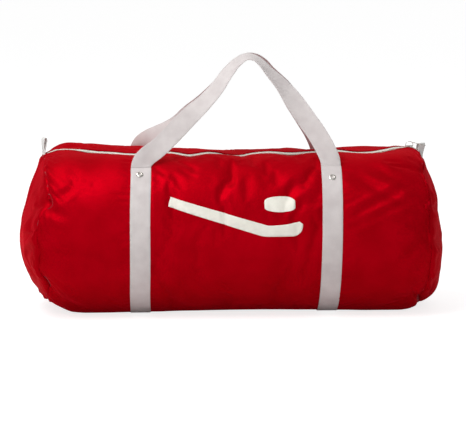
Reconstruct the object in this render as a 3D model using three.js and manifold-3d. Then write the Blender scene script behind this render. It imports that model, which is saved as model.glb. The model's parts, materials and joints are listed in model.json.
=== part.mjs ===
// A long round-ended hockey equipment bag: a cloth barrel with a full-length zip along its crown, two webbing
// girth straps that carry the two handles, riveted strap ends and a webbing pull loop at each end of the zip.
// Units are millimetres. +Z is up, X runs along the bag and the front faces -Y. The origin is on the floor,
// under the middle of the bag. The handles stand up and lean on each other, and the zip is closed.
import * as THREE from "three";
import { mergeVertices } from "three/addons/utils/BufferGeometryUtils.js";
import Module from "manifold-3d";

const wasm = await Module();
wasm.setup();

// ---------------------------------------------------------------- driving dimensions
const GAP = 0.3; // clearance between pieces that touch

// Barrel
const BODY_LENGTH = 1067; // over both bulging ends
const BODY_HEIGHT = 410; // floor to crown
const BODY_DEPTH = 450; // front to back at the widest level
const END_BULGE = 55; // how far each end panel domes out of its seam
const CLOTH = 2; // coated cloth with its seam allowance
const CROWN_POWER = 2.3; // superellipse power of the upper half, a little flatter than an ellipse
const BASE_CUT = 14; // depth of the round section that the floor flattens away
const TAPER_LENGTH = 75; // length of barrel over which each end draws in
const END_NARROWING = 18; // loss of half-depth at an end seam
const END_LIFT = 24; // height of the base at an end seam

// Webbing
const STRAP_WIDTH = 50;
const STRAP_THICKNESS = 2;
const STRAP_SPACING = 474; // between the two girth straps' centres
const STRAP_END_DEPTH = 145; // distance of a girth strap's upper end from the bag's middle plane

// Handles
const HANDLE_HEIGHT = 646; // floor to the webbing's middle at the top of the arch
const HANDLE_TOP_OFFSET = 42; // the arch leans this far towards the right end
const HANDLE_TWIST = 66; // degrees that the webbing turns on its way to the top
const REAR_LEG_BOW = 24; // the rear handle's left leg bows out this much more
const HANDLE_EASE = 80; // length over which a leg turns from level to square to its run
const HANDLE_STEPS = 46;

// Rivets
const RIVET_DEPTH = 166; // distance of a rivet from the bag's middle plane
const RIVET_FLANGE = 18; // flange diameter
const RIVET_CUP = 9; // diameter of the sunk centre
const RIVET_POST = 5;
const RIVET_RISE = 2.2; // flange height over the webbing
const WASHER_DIAMETER = 14;
const WASHER_THICKNESS = 1.2;

// Mouth and zip
const MOUTH_HINGE_DEPTH = 108; // where the cloth turns back when the mouth is opened
const MOUTH_LEFT = -430;
const MOUTH_RIGHT = 360; // short of the slider, which has to clear the lifted cloth
const MOUTH_SEAM_GAP = 1.7; // cloth left out at the turning line and at the mouth's ends
const ZIP_SHOWING = 11; // half-width of zip that shows between the two cloth edges
const TAPE_HALF_WIDTH = 22;
const TAPE_THICKNESS = 0.8;
const COIL_WIDTH = 5;
const COIL_HEIGHT = 2.6;
const COIL_SPLIT = 0.9; // from the middle plane to a coil row
const SLIDER_REST = 450; // the slider's centre when the zip is closed
const SLIDER_LENGTH = 20;
const SLIDER_PLATE = 1.3;
const SLIDER_WALL = 1.1;
const SLIDER_POST = 1.2; // thickness of the wedge that joins the slider's plates
const BRIDGE_WIDTH = 3;
const BRIDGE_RISE = 6.2;
const BRIDGE_BAR = 1.5;
const PULLER_LENGTH = 37;
const PULLER_WIDTH = 8;
const PULLER_ARM = 0.95; // metal on each side of the eye
const PULLER_THICKNESS = 1.6;
const PULLER_EYE = 11;
const PULLER_DROOP = 5; // degrees below level, clear of the coil it travels over

// End trims
const LOOP_WEBBING = 25; // width of a pull loop's webbing
const LOOP_THICKNESS = 1.6;
const LEFT_LOOP_HEIGHT = 36;
const RIGHT_LOOP_HEIGHT = 24;
const LOOP_GAP = 6; // inside the loop at its widest
const RIGHT_LOOP_SHIFT = 18; // the right loop stands behind the zip pull
const BINDING_WIDTH = 18;
const BINDING_THICKNESS = 1.5;

// Printed emblem on the front: a stick and a puck
const EMBLEM_LENGTH = 330;
const EMBLEM_HEIGHT = 96;
const EMBLEM_SHARE = 0.64; // height of its middle as a share of the bag's height
const PRINT_THICKNESS = 0.4;

// ---------------------------------------------------------------- sizes that follow
const TUBE_HALF = BODY_LENGTH / 2 - END_BULGE;
const BASE_LEVEL = GAP + STRAP_THICKNESS; // the cloth's underside, on top of the strap that touches the floor
const TAPE_OFFSET = -CLOTH - GAP; // the tape's upper face, below the cloth's outer face
const COIL_FOOT = BODY_HEIGHT + TAPE_OFFSET + GAP;
const COIL_TOP = COIL_FOOT + COIL_HEIGHT;
const COIL_OUTER = COIL_SPLIT + COIL_WIDTH;
const TAPE_FOOT = BODY_HEIGHT + TAPE_OFFSET - TAPE_THICKNESS;
const PLATE_FOOT = COIL_TOP + GAP;
const PLATE_TOP = PLATE_FOOT + SLIDER_PLATE;
const EMBLEM_LEVEL = BODY_HEIGHT * EMBLEM_SHARE;
const HINGE_RISE = PLATE_TOP + BRIDGE_RISE - BRIDGE_BAR - PULLER_THICKNESS * Math.SQRT1_2 - GAP;
const PULLER_HINGE = SLIDER_REST + SLIDER_LENGTH * 0.33;

// ---------------------------------------------------------------- materials
const finish = (color, roughness, metalness) => new THREE.MeshStandardMaterial({ color, roughness, metalness });
const redCloth = finish(0xb8001c, 0.62, 0);
const whiteWebbing = finish(0xd9d4cf, 0.8, 0);
const zipTape = finish(0xe2e2d8, 0.75, 0);
const zipCoil = finish(0xdde0d4, 0.4, 0);
const nickel = finish(0xb9b5ac, 0.28, 1);
const bindingTape = finish(0x8c0015, 0.8, 0);
const printFilm = finish(0xe4e1d8, 0.5, 0);

// ---------------------------------------------------------------- the barrel's surface
// The section at a station along the bag.
function sectionAt(x) {
  const fade = Math.max(0, 1 - (TUBE_HALF - Math.abs(x)) / TAPER_LENGTH) ** 2;
  const base = BASE_LEVEL + END_LIFT * fade;
  const halfHeight = (BODY_HEIGHT - base + BASE_CUT) / 2;
  return { halfDepth: BODY_DEPTH / 2 - END_NARROWING * fade, halfHeight, base, centre: BODY_HEIGHT - halfHeight };
}

// Angles go round the section: 0 at the front, 90 at the crown, 180 at the back. The flat base runs from the
// angle backBase() on to the angle frontBase() + 360.
function frontBase(x) {
  const s = sectionAt(x);
  return -THREE.MathUtils.radToDeg(Math.asin((s.centre - s.base) / s.halfHeight));
}

const signedPower = (v, p) => Math.sign(v) * Math.abs(v) ** p;

// A point of the outer face, as [y, z].
function outline(x, degrees) {
  const s = sectionAt(x);
  const t = THREE.MathUtils.degToRad(degrees);
  const power = Math.sin(t) > 0 ? 2 / CROWN_POWER : 1;
  const y = -s.halfDepth * signedPower(Math.cos(t), power);
  const z = s.centre + s.halfHeight * signedPower(Math.sin(t), power);
  return [y, Math.max(z, s.base)];
}

// The angle at which the upper front face is this far from the middle plane.
function angleAtDepth(depth) {
  return THREE.MathUtils.radToDeg(Math.acos((depth / (BODY_DEPTH / 2)) ** (CROWN_POWER / 2)));
}

// The angle at which the front face has this height, halfway along the bag.
function angleAtLevel(level) {
  const s = sectionAt(0);
  const share = (level - s.centre) / s.halfHeight;
  const power = share > 0 ? CROWN_POWER / 2 : 1;
  return Math.sign(share) * THREE.MathUtils.radToDeg(Math.asin(Math.abs(share) ** power));
}

// Outline points at the given angles, moved out by offset along mitred normals.
function offsetOutline(x, angles, offset) {
  const points = angles.map((a) => new THREE.Vector2(...outline(x, a)));
  const before = new THREE.Vector2(...outline(x, angles[0] - 1));
  const after = new THREE.Vector2(...outline(x, angles[angles.length - 1] + 1));
  return points.map((p, i) => {
    const normalOf = (a, b) => new THREE.Vector2(a.y - b.y, b.x - a.x).normalize();
    const n1 = normalOf(i ? points[i - 1] : before, p);
    const n2 = normalOf(p, i < points.length - 1 ? points[i + 1] : after);
    const scale = offset / (1 + n1.dot(n2));
    return [p.x + (n1.x + n2.x) * scale, p.y + (n1.y + n2.y) * scale];
  });
}

const rangeOf = (from, to, count) => Array.from({ length: count + 1 }, (_, i) => from + ((to - from) * i) / count);

// Angles that every layer of the wall shares, so that their flat facets stay parallel.
const rivetAngle = angleAtDepth(RIVET_DEPTH);
const strapEndAngle = angleAtDepth(STRAP_END_DEPTH);
const hingeAngle = angleAtDepth(MOUTH_HINGE_DEPTH);
const zipEdgeAngle = angleAtDepth(ZIP_SHOWING);
const RIVET_FACET = 3.4; // half the angle of the flat facet that carries a rivet
const printBand = [-1, 1].map((side) => angleAtLevel(EMBLEM_LEVEL + side * (EMBLEM_HEIGHT / 2 + 4)));
const sideAngles = (x) => [
  ...rangeOf(frontBase(x), printBand[0], 5).slice(0, -1),
  ...rangeOf(printBand[0], printBand[1], 3),
  rivetAngle - RIVET_FACET,
  rivetAngle + RIVET_FACET,
  strapEndAngle,
];
const mouthAngles = [88, 66, 44, TAPE_HALF_WIDTH].map(angleAtDepth);

// ---------------------------------------------------------------- solids
// A closed geometry from points and triangles, turned so that its faces point out.
function closedGeometry(points, triangles) {
  let volume = 0;
  for (let i = 0; i < triangles.length; i += 3) {
    const [a, b, c] = [0, 1, 2].map((k) => new THREE.Vector3(...points[triangles[i + k]]));
    volume += a.dot(b.cross(c));
  }
  const index = volume < 0 ? [...triangles].reverse() : triangles;
  return new THREE.BufferGeometry()
    .setAttribute("position", new THREE.BufferAttribute(new Float32Array(points.flat()), 3))
    .setIndex([...index]);
}

// Any geometry as points and triangles alone, moved and turned by an optional map of its points.
function bare(geometry, map = (p) => p) {
  const plain = new THREE.BufferGeometry().setAttribute("position", geometry.getAttribute("position"));
  plain.setIndex(geometry.index);
  const merged = mergeVertices(plain, 1e-4);
  const position = merged.getAttribute("position");
  const points = rangeOf(0, position.count - 1, position.count - 1).map((i) =>
    map([position.getX(i), position.getY(i), position.getZ(i)]),
  );
  const corners = Array.from(merged.index.array);
  const triangles = [];
  for (let i = 0; i < corners.length; i += 3) {
    const [a, b, c] = corners.slice(i, i + 3);
    if (a !== b && b !== c && c !== a) triangles.push(a, b, c);
  }
  return closedGeometry(points, triangles);
}

// The back of the bag mirrors the front.
const mirrored = (geometry) => bare(geometry, ([x, y, z]) => [x, -y, z]);

// A profile drawn in X and Z, made solid between two depths.
function slabXZ(shape, y1, y2, curveSegments = 8) {
  const slab = new THREE.ExtrudeGeometry(shape, { depth: y2 - y1, bevelEnabled: false, curveSegments });
  return bare(slab, ([x, z, y]) => [x, y1 + y, z]);
}

// A profile drawn in Y and Z, made solid between two stations.
function barAlongX(points, x1, x2) {
  const shape = new THREE.Shape(points.map(([y, z]) => new THREE.Vector2(y, z)));
  const bar = new THREE.ExtrudeGeometry(shape, { depth: x2 - x1, bevelEnabled: false });
  return bare(bar, ([y, z, x]) => [x1 + x, y, z]);
}

// A box given by its lowest and highest corners.
function boxBetween(low, high) {
  const size = high.map((v, i) => v - low[i]);
  return bare(new THREE.BoxGeometry(...size).translate(...low.map((v, i) => v + size[i] / 2)));
}

// A thick sheet between two grids of points, front[i][j] and back[i][j]. Cells for which keeps(i, j) is false
// are left out, and every free edge gets a rim.
function thickSheet(front, back, keeps = () => true) {
  const rows = front.length;
  const columns = front[0].length;
  const at = (side, i, j) => (side * rows + i) * columns + j;
  const kept = (i, j) => i >= 0 && i < rows - 1 && j >= 0 && j < columns - 1 && keeps(i, j);
  const triangles = [];
  const quad = (a, b, c, d) => triangles.push(a, b, c, a, c, d);
  for (let i = 0; i < rows - 1; i += 1) {
    for (let j = 0; j < columns - 1; j += 1) {
      if (!kept(i, j)) continue;
      quad(at(0, i, j), at(0, i, j + 1), at(0, i + 1, j + 1), at(0, i + 1, j));
      quad(at(1, i, j), at(1, i + 1, j), at(1, i + 1, j + 1), at(1, i, j + 1));
      if (!kept(i - 1, j)) quad(at(0, i, j), at(1, i, j), at(1, i, j + 1), at(0, i, j + 1));
      if (!kept(i + 1, j)) quad(at(0, i + 1, j + 1), at(1, i + 1, j + 1), at(1, i + 1, j), at(0, i + 1, j));
      if (!kept(i, j - 1)) quad(at(0, i + 1, j), at(1, i + 1, j), at(1, i, j), at(0, i, j));
      if (!kept(i, j + 1)) quad(at(0, i, j + 1), at(1, i, j + 1), at(1, i + 1, j + 1), at(0, i + 1, j + 1));
    }
  }
  return closedGeometry([...front.flat(), ...back.flat()], triangles);
}

// Part of the barrel's front wall between two offsets from its outer face.
function wallPatch(stations, angles, outer, inner) {
  const grid = (offset) => stations.map((x) => offsetOutline(x, angles, offset).map(([y, z]) => [x, y, z]));
  return thickSheet(grid(outer), grid(inner));
}

// A closed bar through rows of corner points, capped at both ends.
function sweptBar(rows) {
  const n = rows[0].length;
  const triangles = [];
  for (let i = 0; i < rows.length - 1; i += 1) {
    for (let j = 0; j < n; j += 1) {
      const [a, b] = [i * n + j, i * n + ((j + 1) % n)];
      // The second half of a section faces the other way, and is cut along the same diagonal in space.
      if (j < n / 2) triangles.push(a, b, b + n, a, b + n, a + n);
      else triangles.push(a, b, a + n, b, b + n, a + n);
    }
  }
  const last = (rows.length - 1) * n;
  for (let j = 1; j < n - 1; j += 1) triangles.push(0, j + 1, j, last, last + j, last + j + 1);
  return closedGeometry(rows.flat(), triangles);
}

function toSolid(geometry) {
  const merged = bare(geometry);
  return new wasm.Manifold(
    new wasm.Mesh({
      numProp: 3,
      vertProperties: new Float32Array(merged.attributes.position.array),
      triVerts: new Uint32Array(merged.index.array),
    }),
  );
}

function fromSolid(solid) {
  const mesh = solid.getMesh();
  const points = new Float32Array(mesh.numVert * 3);
  for (let i = 0; i < mesh.numVert; i += 1) {
    points.set(mesh.vertProperties.subarray(i * mesh.numProp, i * mesh.numProp + 3), i * 3);
  }
  return new THREE.BufferGeometry()
    .setAttribute("position", new THREE.BufferAttribute(points, 3))
    .setIndex(new THREE.BufferAttribute(mesh.triVerts, 1));
}

const cut = (geometry, ...tools) => fromSolid(tools.reduce((s, t) => s.subtract(toSolid(t)), toSolid(geometry)));
const join = (first, ...rest) => fromSolid(rest.reduce((s, t) => s.add(toSolid(t)), toSolid(first)));

const bag = new THREE.Group();
bag.name = "hockey_bag";

function add(name, geometry, material) {
  const mesh = new THREE.Mesh(geometry, material);
  mesh.name = name;
  bag.add(mesh);
}

function addPair(name, frontGeometry, material) {
  add(`front_${name}`, frontGeometry, material);
  add(`rear_${name}`, mirrored(frontGeometry), material.clone());
}

// ---------------------------------------------------------------- rivets
const strapCentres = { left: -STRAP_SPACING / 2, right: STRAP_SPACING / 2 };
const webbingTop = GAP + STRAP_THICKNESS;
const RIVET_SIDES = 20;

// Puts a turned shape on the front facet that carries a rivet, with its axis square to the cloth.
function onRivetFacet(x, profile) {
  const [low, high] = [-1, 1].map((side) => outline(x, rivetAngle + side * RIVET_FACET));
  const along = new THREE.Vector3(0, high[0] - low[0], high[1] - low[1]).normalize();
  const out = new THREE.Vector3(0, -along.z, along.y);
  const turn = new THREE.Quaternion().setFromUnitVectors(new THREE.Vector3(0, 1, 0), out);
  const lathe = new THREE.LatheGeometry(profile.map(([r, h]) => new THREE.Vector2(r, h)), RIVET_SIDES);
  lathe.applyQuaternion(turn).translate(x, (low[0] + high[0]) / 2, (low[1] + high[1]) / 2);
  return bare(lathe);
}

const washerTop = -CLOTH - GAP;
const washerFoot = washerTop - WASHER_THICKNESS;
const flangeFoot = webbingTop + GAP;
const postFoot = washerFoot - GAP;
const holeRadius = RIVET_POST / 2 + GAP;

const rivetProfile = [
  [0, postFoot - 1],
  [RIVET_POST / 2 + 1, postFoot - 1],
  [RIVET_POST / 2 + 1, postFoot],
  [RIVET_POST / 2, postFoot],
  [RIVET_POST / 2, flangeFoot],
  [RIVET_FLANGE / 2, flangeFoot],
  [RIVET_FLANGE / 2 - 0.4, flangeFoot + RIVET_RISE * 0.55],
  [RIVET_CUP / 2 + 1.4, flangeFoot + RIVET_RISE],
  [RIVET_CUP / 2, flangeFoot + RIVET_RISE * 0.9],
  [RIVET_CUP / 2 - 0.8, flangeFoot + RIVET_RISE * 0.35],
  [0, flangeFoot + RIVET_RISE * 0.35],
];
const washerProfile = [
  [holeRadius, washerFoot],
  [WASHER_DIAMETER / 2, washerFoot],
  [WASHER_DIAMETER / 2, washerTop],
  [holeRadius, washerTop],
  [holeRadius, washerFoot],
];
const holeProfile = [
  [0, -8],
  [holeRadius, -8],
  [holeRadius, 8],
  [0, 8],
];

for (const [side, x] of Object.entries(strapCentres)) {
  addPair(`${side}_rivet`, onRivetFacet(x, rivetProfile), nickel);
  addPair(`${side}_rivet_washer`, onRivetFacet(x, washerProfile), nickel);
}
const rivetHoles = Object.values(strapCentres).map((x) => onRivetFacet(x, holeProfile));

// ---------------------------------------------------------------- barrel panels
const seamGapAngle = THREE.MathUtils.radToDeg(MOUTH_SEAM_GAP / (BODY_HEIGHT / 2));
const taperStart = TUBE_HALF - TAPER_LENGTH;
const taper = [0.25, 0.5, 0.75, 1].map((share) => taperStart + TAPER_LENGTH * share);

// One long panel: base seam, side, and at the closed ends of the zip on up to the tape. The mouth's opening is
// left out of its upper edge.
function bodyPanel() {
  const mouthEdges = [MOUTH_LEFT - MOUTH_SEAM_GAP, MOUTH_RIGHT + MOUTH_SEAM_GAP];
  const stations = [-taperStart, 0, taperStart, ...taper.map((x) => -x), ...taper, ...mouthEdges];
  stations.sort((a, b) => a - b);
  const hingeColumn = sideAngles(0).length + 1;
  const grid = (offset) =>
    stations.map((x) => {
      const angles = [...sideAngles(x), hingeAngle - seamGapAngle, ...mouthAngles, zipEdgeAngle];
      const wall = offsetOutline(x, angles, offset);
      return [[-GAP / 2, sectionAt(x).base - offset], ...wall].map(([y, z]) => [x, y, z]);
    });
  const [first, last] = mouthEdges.map((x) => stations.indexOf(x));
  return thickSheet(grid(0), grid(-CLOTH), (i, j) => i < first || i >= last || j < hingeColumn);
}

addPair("body_panel", cut(bodyPanel(), ...rivetHoles), redCloth);

// The stretch of panel that turns back when the mouth opens.
const mouthColumns = [hingeAngle, ...mouthAngles, zipEdgeAngle];
addPair("mouth_panel", wallPatch([MOUTH_LEFT, -taperStart, 0, MOUTH_RIGHT], mouthColumns, 0, -CLOTH), redCloth);

// Round end panel that domes out of its seam.
function endPanel(sign) {
  const s = sectionAt(TUBE_HALF);
  const start = frontBase(TUBE_HALF);
  const seam = rangeOf(start, 180 - start, 30).map((a) => outline(TUBE_HALF, a));
  const middle = (BODY_HEIGHT + s.base) / 2;
  const latitudes = [14, 34, 52, 68, 80, 90].map(THREE.MathUtils.degToRad);
  const foot = TUBE_HALF + GAP;
  const skin = (inset) => {
    const shrink = 1 - inset / s.halfHeight;
    const bulge = END_BULGE - GAP - inset;
    const pole = [sign * (foot + bulge), 0, middle];
    const rings = latitudes.map((latitude) =>
      seam.map(([y, z]) => {
        const r = Math.sin(latitude) * shrink;
        return [sign * (foot + bulge * Math.cos(latitude)), y * r, middle + (z - middle) * r];
      }),
    );
    return [pole, ...rings.flat()];
  };
  const outer = skin(0);
  const inner = skin(CLOTH);
  const n = seam.length;
  const last = latitudes.length - 1;
  const at = (side, ring, i) => side * outer.length + 1 + ring * n + (i % n);
  const triangles = [];
  const quad = (a, b, c, d) => triangles.push(a, b, c, a, c, d);
  for (let i = 0; i < n; i += 1) {
    triangles.push(0, at(0, 0, i), at(0, 0, i + 1), outer.length, at(1, 0, i + 1), at(1, 0, i));
    for (let ring = 0; ring < last; ring += 1) {
      quad(at(0, ring, i), at(0, ring + 1, i), at(0, ring + 1, i + 1), at(0, ring, i + 1));
      quad(at(1, ring, i), at(1, ring, i + 1), at(1, ring + 1, i + 1), at(1, ring + 1, i));
    }
    quad(at(0, last, i), at(1, last, i), at(1, last, i + 1), at(0, last, i + 1));
  }
  return closedGeometry([...outer, ...inner], triangles);
}

add("left_end_panel", endPanel(-1), redCloth);
add("right_end_panel", endPanel(1), redCloth.clone());

// Tape that binds the raw edges of an end seam, inside the bag. It stops short of the zip on both sides.
function seamBinding(sign) {
  const stations = [TUBE_HALF - 2 - BINDING_WIDTH, TUBE_HALF - 2].map((x) => sign * x);
  const row = (offset) => (x) => {
    const angles = [...sideAngles(x), hingeAngle, ...mouthAngles.slice(0, -1)];
    const front = offsetOutline(x, angles, offset);
    const back = front.map(([y, z]) => [-y, z]).reverse();
    return [...back, ...front].map(([y, z]) => [x, y, z]);
  };
  const outer = -CLOTH - 2 * GAP;
  return thickSheet(stations.map(row(outer)), stations.map(row(outer - BINDING_THICKNESS)));
}

add("left_seam_binding", seamBinding(-1), bindingTape);
add("right_seam_binding", seamBinding(1), bindingTape.clone());

// Tape over the seam that joins the front and rear panels along the base, inside the bag.
const bindingFoot = BASE_LEVEL + CLOTH + GAP;
add(
  "base_seam_binding",
  boxBetween(
    [-taperStart, -BINDING_WIDTH / 2, bindingFoot],
    [taperStart, BINDING_WIDTH / 2, bindingFoot + BINDING_THICKNESS],
  ),
  bindingTape.clone(),
);

// ---------------------------------------------------------------- girth straps
// One strap runs from the front rivet down the front, under the bag and up the back.
function girthStrap(centre) {
  const stations = [centre - STRAP_WIDTH / 2, centre + STRAP_WIDTH / 2];
  const row = (offset) => (x) => {
    const front = offsetOutline(x, sideAngles(x), offset);
    const back = front.map(([y, z]) => [-y, z]).reverse();
    return [...back, ...front].map(([y, z]) => [x, y, z]);
  };
  return thickSheet(stations.map(row(webbingTop)), stations.map(row(GAP)));
}

for (const [side, x] of Object.entries(strapCentres)) {
  const hole = onRivetFacet(x, holeProfile);
  add(`${side}_girth_strap`, cut(girthStrap(x), hole, mirrored(hole)), whiteWebbing.clone());
}

// ---------------------------------------------------------------- handles
// The line about which the front handle swings, over the upper ends of the girth straps.
function handleHinge() {
  const [y, z] = outline(0, strapEndAngle);
  const [low, high] = [-1, 1].map((side) => outline(0, strapEndAngle + side));
  const along = new THREE.Vector2(high[0] - low[0], high[1] - low[1]).normalize();
  const lift = webbingTop + GAP + STRAP_THICKNESS / 2;
  return { y: y - along.y * lift, z: z + along.x * lift };
}

// The arch's middle line from the left foot to the right: share of half the spacing, and share of the rise.
const ARCH = [
  [-1, 0],
  [-0.985, 0.04],
  [-0.9, 0.105],
  [-0.715, 0.222],
  [-0.45, 0.43],
  [-0.255, 0.615],
  [-0.095, 0.805],
  [0.04, 0.955],
  [0.173, 1],
  [0.312, 0.945],
  [0.485, 0.735],
  [0.645, 0.52],
  [0.81, 0.285],
  [0.93, 0.105],
  [0.99, 0.04],
  [1, 0],
];
const ARCH_TOP = 8; // place of the top in the list above

// A front handle. bow pushes its left leg outwards.
function handle(bow) {
  const hinge = handleHinge();
  const rise = HANDLE_HEIGHT - hinge.z;
  const topDepth = -(GAP + STRAP_WIDTH / 2 + 1.5);
  const half = STRAP_SPACING / 2;
  const shift = HANDLE_TOP_OFFSET - ARCH[ARCH_TOP][0] * half;
  const curve = new THREE.CatmullRomCurve3(
    ARCH.map(([across, up], i) => {
      const bowed = i < ARCH_TOP ? -bow * Math.sin(Math.PI * Math.min(1, up * 1.6)) : 0;
      const x = across * half + shift * up + Math.min(0, bowed);
      return new THREE.Vector3(x, hinge.y + (topDepth - hinge.y) * up, hinge.z + rise * up);
    }),
    false,
    "centripetal",
  );
  const length = curve.getLength();
  const square = new THREE.Vector3(0, -rise, topDepth - hinge.y).normalize();
  const { smoothstep } = THREE.MathUtils;
  const rows = rangeOf(0, 1, HANDLE_STEPS).map((u) => {
    const along = curve.getTangentAt(u);
    const middle = curve.getPointAt(u);
    const outward = new THREE.Vector3().crossVectors(square, along).normalize();
    // The webbing is level where it is sewn down, and turns square to its run over the next stretch.
    const level = new THREE.Vector3(Math.sign(outward.x), 0, 0);
    outward.lerp(level, 1 - smoothstep(Math.min(u, 1 - u) * length, 0, HANDLE_EASE)).normalize();
    const turned = smoothstep(u, 0.17, 0.45) * (1 - smoothstep(u, 0.56, 0.78));
    const twist = THREE.MathUtils.degToRad(HANDLE_TWIST) * turned;
    const across = outward.multiplyScalar(Math.cos(twist)).addScaledVector(square, Math.sin(twist));
    const through = new THREE.Vector3().crossVectors(along, across).normalize();
    const corner = ([w, t]) =>
      middle
        .clone()
        .addScaledVector(across, (w * STRAP_WIDTH) / 2)
        .addScaledVector(through, (t * STRAP_THICKNESS) / 2)
        .toArray();
    const over = [-1, -0.5, 0, 0.5, 1];
    return [...over.map((w) => [w, -1]), ...over.toReversed().map((w) => [w, 1])].map(corner);
  });
  return sweptBar(rows);
}

add("front_handle", handle(0), whiteWebbing.clone());
add("rear_handle", mirrored(handle(REAR_LEG_BOW)), whiteWebbing.clone());

// ---------------------------------------------------------------- zip
// One side's tape over a stretch of the zip.
function tapeSide(from, to) {
  const angles = [mouthAngles.at(-1), zipEdgeAngle, angleAtDepth(COIL_OUTER), angleAtDepth(COIL_SPLIT)];
  const stations = [from, ...taper, ...taper.map((x) => -x), to].filter((x) => x >= from && x <= to);
  stations.sort((a, b) => a - b);
  return wallPatch(stations, angles, TAPE_OFFSET, TAPE_OFFSET - TAPE_THICKNESS);
}

// One side's row of coil, with its upper edges rounded off.
function coilSide(from, to, foot = COIL_FOOT) {
  const bevel = 0.7;
  const profile = [
    [-COIL_SPLIT, foot],
    [-COIL_SPLIT, COIL_TOP - bevel],
    [-COIL_SPLIT - bevel, COIL_TOP],
    [-COIL_OUTER + bevel, COIL_TOP],
    [-COIL_OUTER, COIL_TOP - bevel],
    [-COIL_OUTER, foot],
  ];
  return barAlongX(profile, from, to);
}

addPair("zip_tape", tapeSide(MOUTH_LEFT, MOUTH_RIGHT), zipTape);
addPair("zip_coil", coilSide(MOUTH_LEFT, MOUTH_RIGHT), zipCoil);

// The ends of the zip stay closed: both tapes and both rows, sewn together past the last coil.
const coilEnd = TUBE_HALF - 11;
const tapeEnd = TUBE_HALF - 3;
const ascending = (...values) => values.sort((a, b) => a - b);

function zipEnd(sign, mouthEdge) {
  const near = mouthEdge + sign * MOUTH_SEAM_GAP;
  const tape = tapeSide(...ascending(near, sign * tapeEnd));
  const coil = coilSide(...ascending(near, sign * coilEnd), TAPE_FOOT + TAPE_THICKNESS / 2);
  const [from, to] = ascending(sign * (coilEnd + 3), sign * tapeEnd);
  const tack = boxBetween(
    [from, -COIL_OUTER, TAPE_FOOT + 0.1],
    [to, COIL_OUTER, TAPE_FOOT + TAPE_THICKNESS - 0.1],
  );
  return join(tape, coil, mirrored(tape), mirrored(coil), tack);
}

add("left_zip_end", zipEnd(-1, MOUTH_LEFT), zipTape.clone());
add("right_zip_end", zipEnd(1, MOUTH_RIGHT), zipTape.clone());

// Metal stop across an end of the coil.
function zipStop(sign) {
  const [from, to] = ascending(sign * (coilEnd + GAP), sign * (coilEnd + 2.5));
  return boxBetween([from, -COIL_OUTER, COIL_FOOT], [to, COIL_OUTER, COIL_FOOT + 1.6]);
}

add("left_zip_stop", zipStop(-1), nickel.clone());
add("right_zip_stop", zipStop(1), nickel.clone());

// ---------------------------------------------------------------- slider and pull
function slider() {
  const inner = COIL_OUTER + GAP;
  const outer = inner + SLIDER_WALL;
  const [left, right] = [SLIDER_REST - SLIDER_LENGTH / 2, SLIDER_REST + SLIDER_LENGTH / 2];
  const lowest = TAPE_FOOT - 2 * GAP - SLIDER_PLATE;
  const topPlate = boxBetween([left, -outer, PLATE_FOOT], [right, outer, PLATE_TOP]);
  const bottomPlate = boxBetween([left, -outer, lowest], [right, outer, lowest + SLIDER_PLATE]);
  const skirts = [-1, 1].map((side) => {
    const [y1, y2] = ascending(side * inner, side * outer);
    return boxBetween([left, y1, COIL_FOOT + 1], [right, y2, PLATE_FOOT + SLIDER_PLATE / 2]);
  });
  const wedge = boxBetween(
    [right - 4, -SLIDER_POST / 2, lowest + SLIDER_PLATE / 2],
    [right - 1, SLIDER_POST / 2, PLATE_FOOT + SLIDER_PLATE / 2],
  );
  const crown = PLATE_TOP + BRIDGE_RISE;
  const [x1, x2] = [left + 2, right - 0.5];
  const arch = new THREE.Shape(
    [
      [x1, PLATE_TOP - 0.5],
      [x2, PLATE_TOP - 0.5],
      [x2, crown - 1.2],
      [x2 - 1.2, crown],
      [x1 + 3, crown],
      [x1, PLATE_TOP + 1.5],
    ].map(([x, z]) => new THREE.Vector2(x, z)),
  );
  arch.holes.push(
    new THREE.Path(
      [
        [x1 + 2.6, PLATE_TOP + 0.6],
        [x1 + 3.6, crown - BRIDGE_BAR],
        [x2 - BRIDGE_BAR, crown - BRIDGE_BAR],
        [x2 - BRIDGE_BAR, PLATE_TOP + 0.6],
      ].map(([x, z]) => new THREE.Vector2(x, z)),
    ),
  );
  const bridge = slabXZ(arch, -BRIDGE_WIDTH / 2, BRIDGE_WIDTH / 2);
  return join(topPlate, bottomPlate, ...skirts, wedge, bridge);
}

add("zip_slider", slider(), nickel.clone());

// A flat tab with an eye whose cross bar passes under the slider's bridge. It is slim beside the bridge.
function puller() {
  const bar = PULLER_THICKNESS / 2;
  const eyeHalf = BRIDGE_WIDTH / 2 + GAP;
  const slim = eyeHalf + PULLER_ARM;
  const wide = PULLER_WIDTH / 2;
  const tab = new THREE.Shape();
  tab.moveTo(-bar, -slim);
  tab.lineTo(PULLER_EYE, -slim);
  tab.lineTo(PULLER_EYE + 5, -wide);
  tab.lineTo(PULLER_LENGTH - 3, -wide);
  tab.quadraticCurveTo(PULLER_LENGTH, -wide, PULLER_LENGTH, 0);
  tab.quadraticCurveTo(PULLER_LENGTH, wide, PULLER_LENGTH - 3, wide);
  tab.lineTo(PULLER_EYE + 5, wide);
  tab.lineTo(PULLER_EYE, slim);
  tab.lineTo(-bar, slim);
  tab.closePath();
  const eye = [
    [bar, -eyeHalf],
    [bar, eyeHalf],
    [PULLER_EYE, eyeHalf],
    [PULLER_EYE, -eyeHalf],
  ];
  tab.holes.push(new THREE.Path(eye.map(([x, y]) => new THREE.Vector2(x, y))));
  const plate = new THREE.ExtrudeGeometry(tab, { depth: PULLER_THICKNESS, bevelEnabled: false, curveSegments: 6 });
  plate.translate(0, 0, -bar);
  plate.rotateY(THREE.MathUtils.degToRad(PULLER_DROOP));
  return bare(plate.translate(PULLER_HINGE, 0, HINGE_RISE));
}

add("zip_puller", puller(), nickel.clone());

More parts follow.
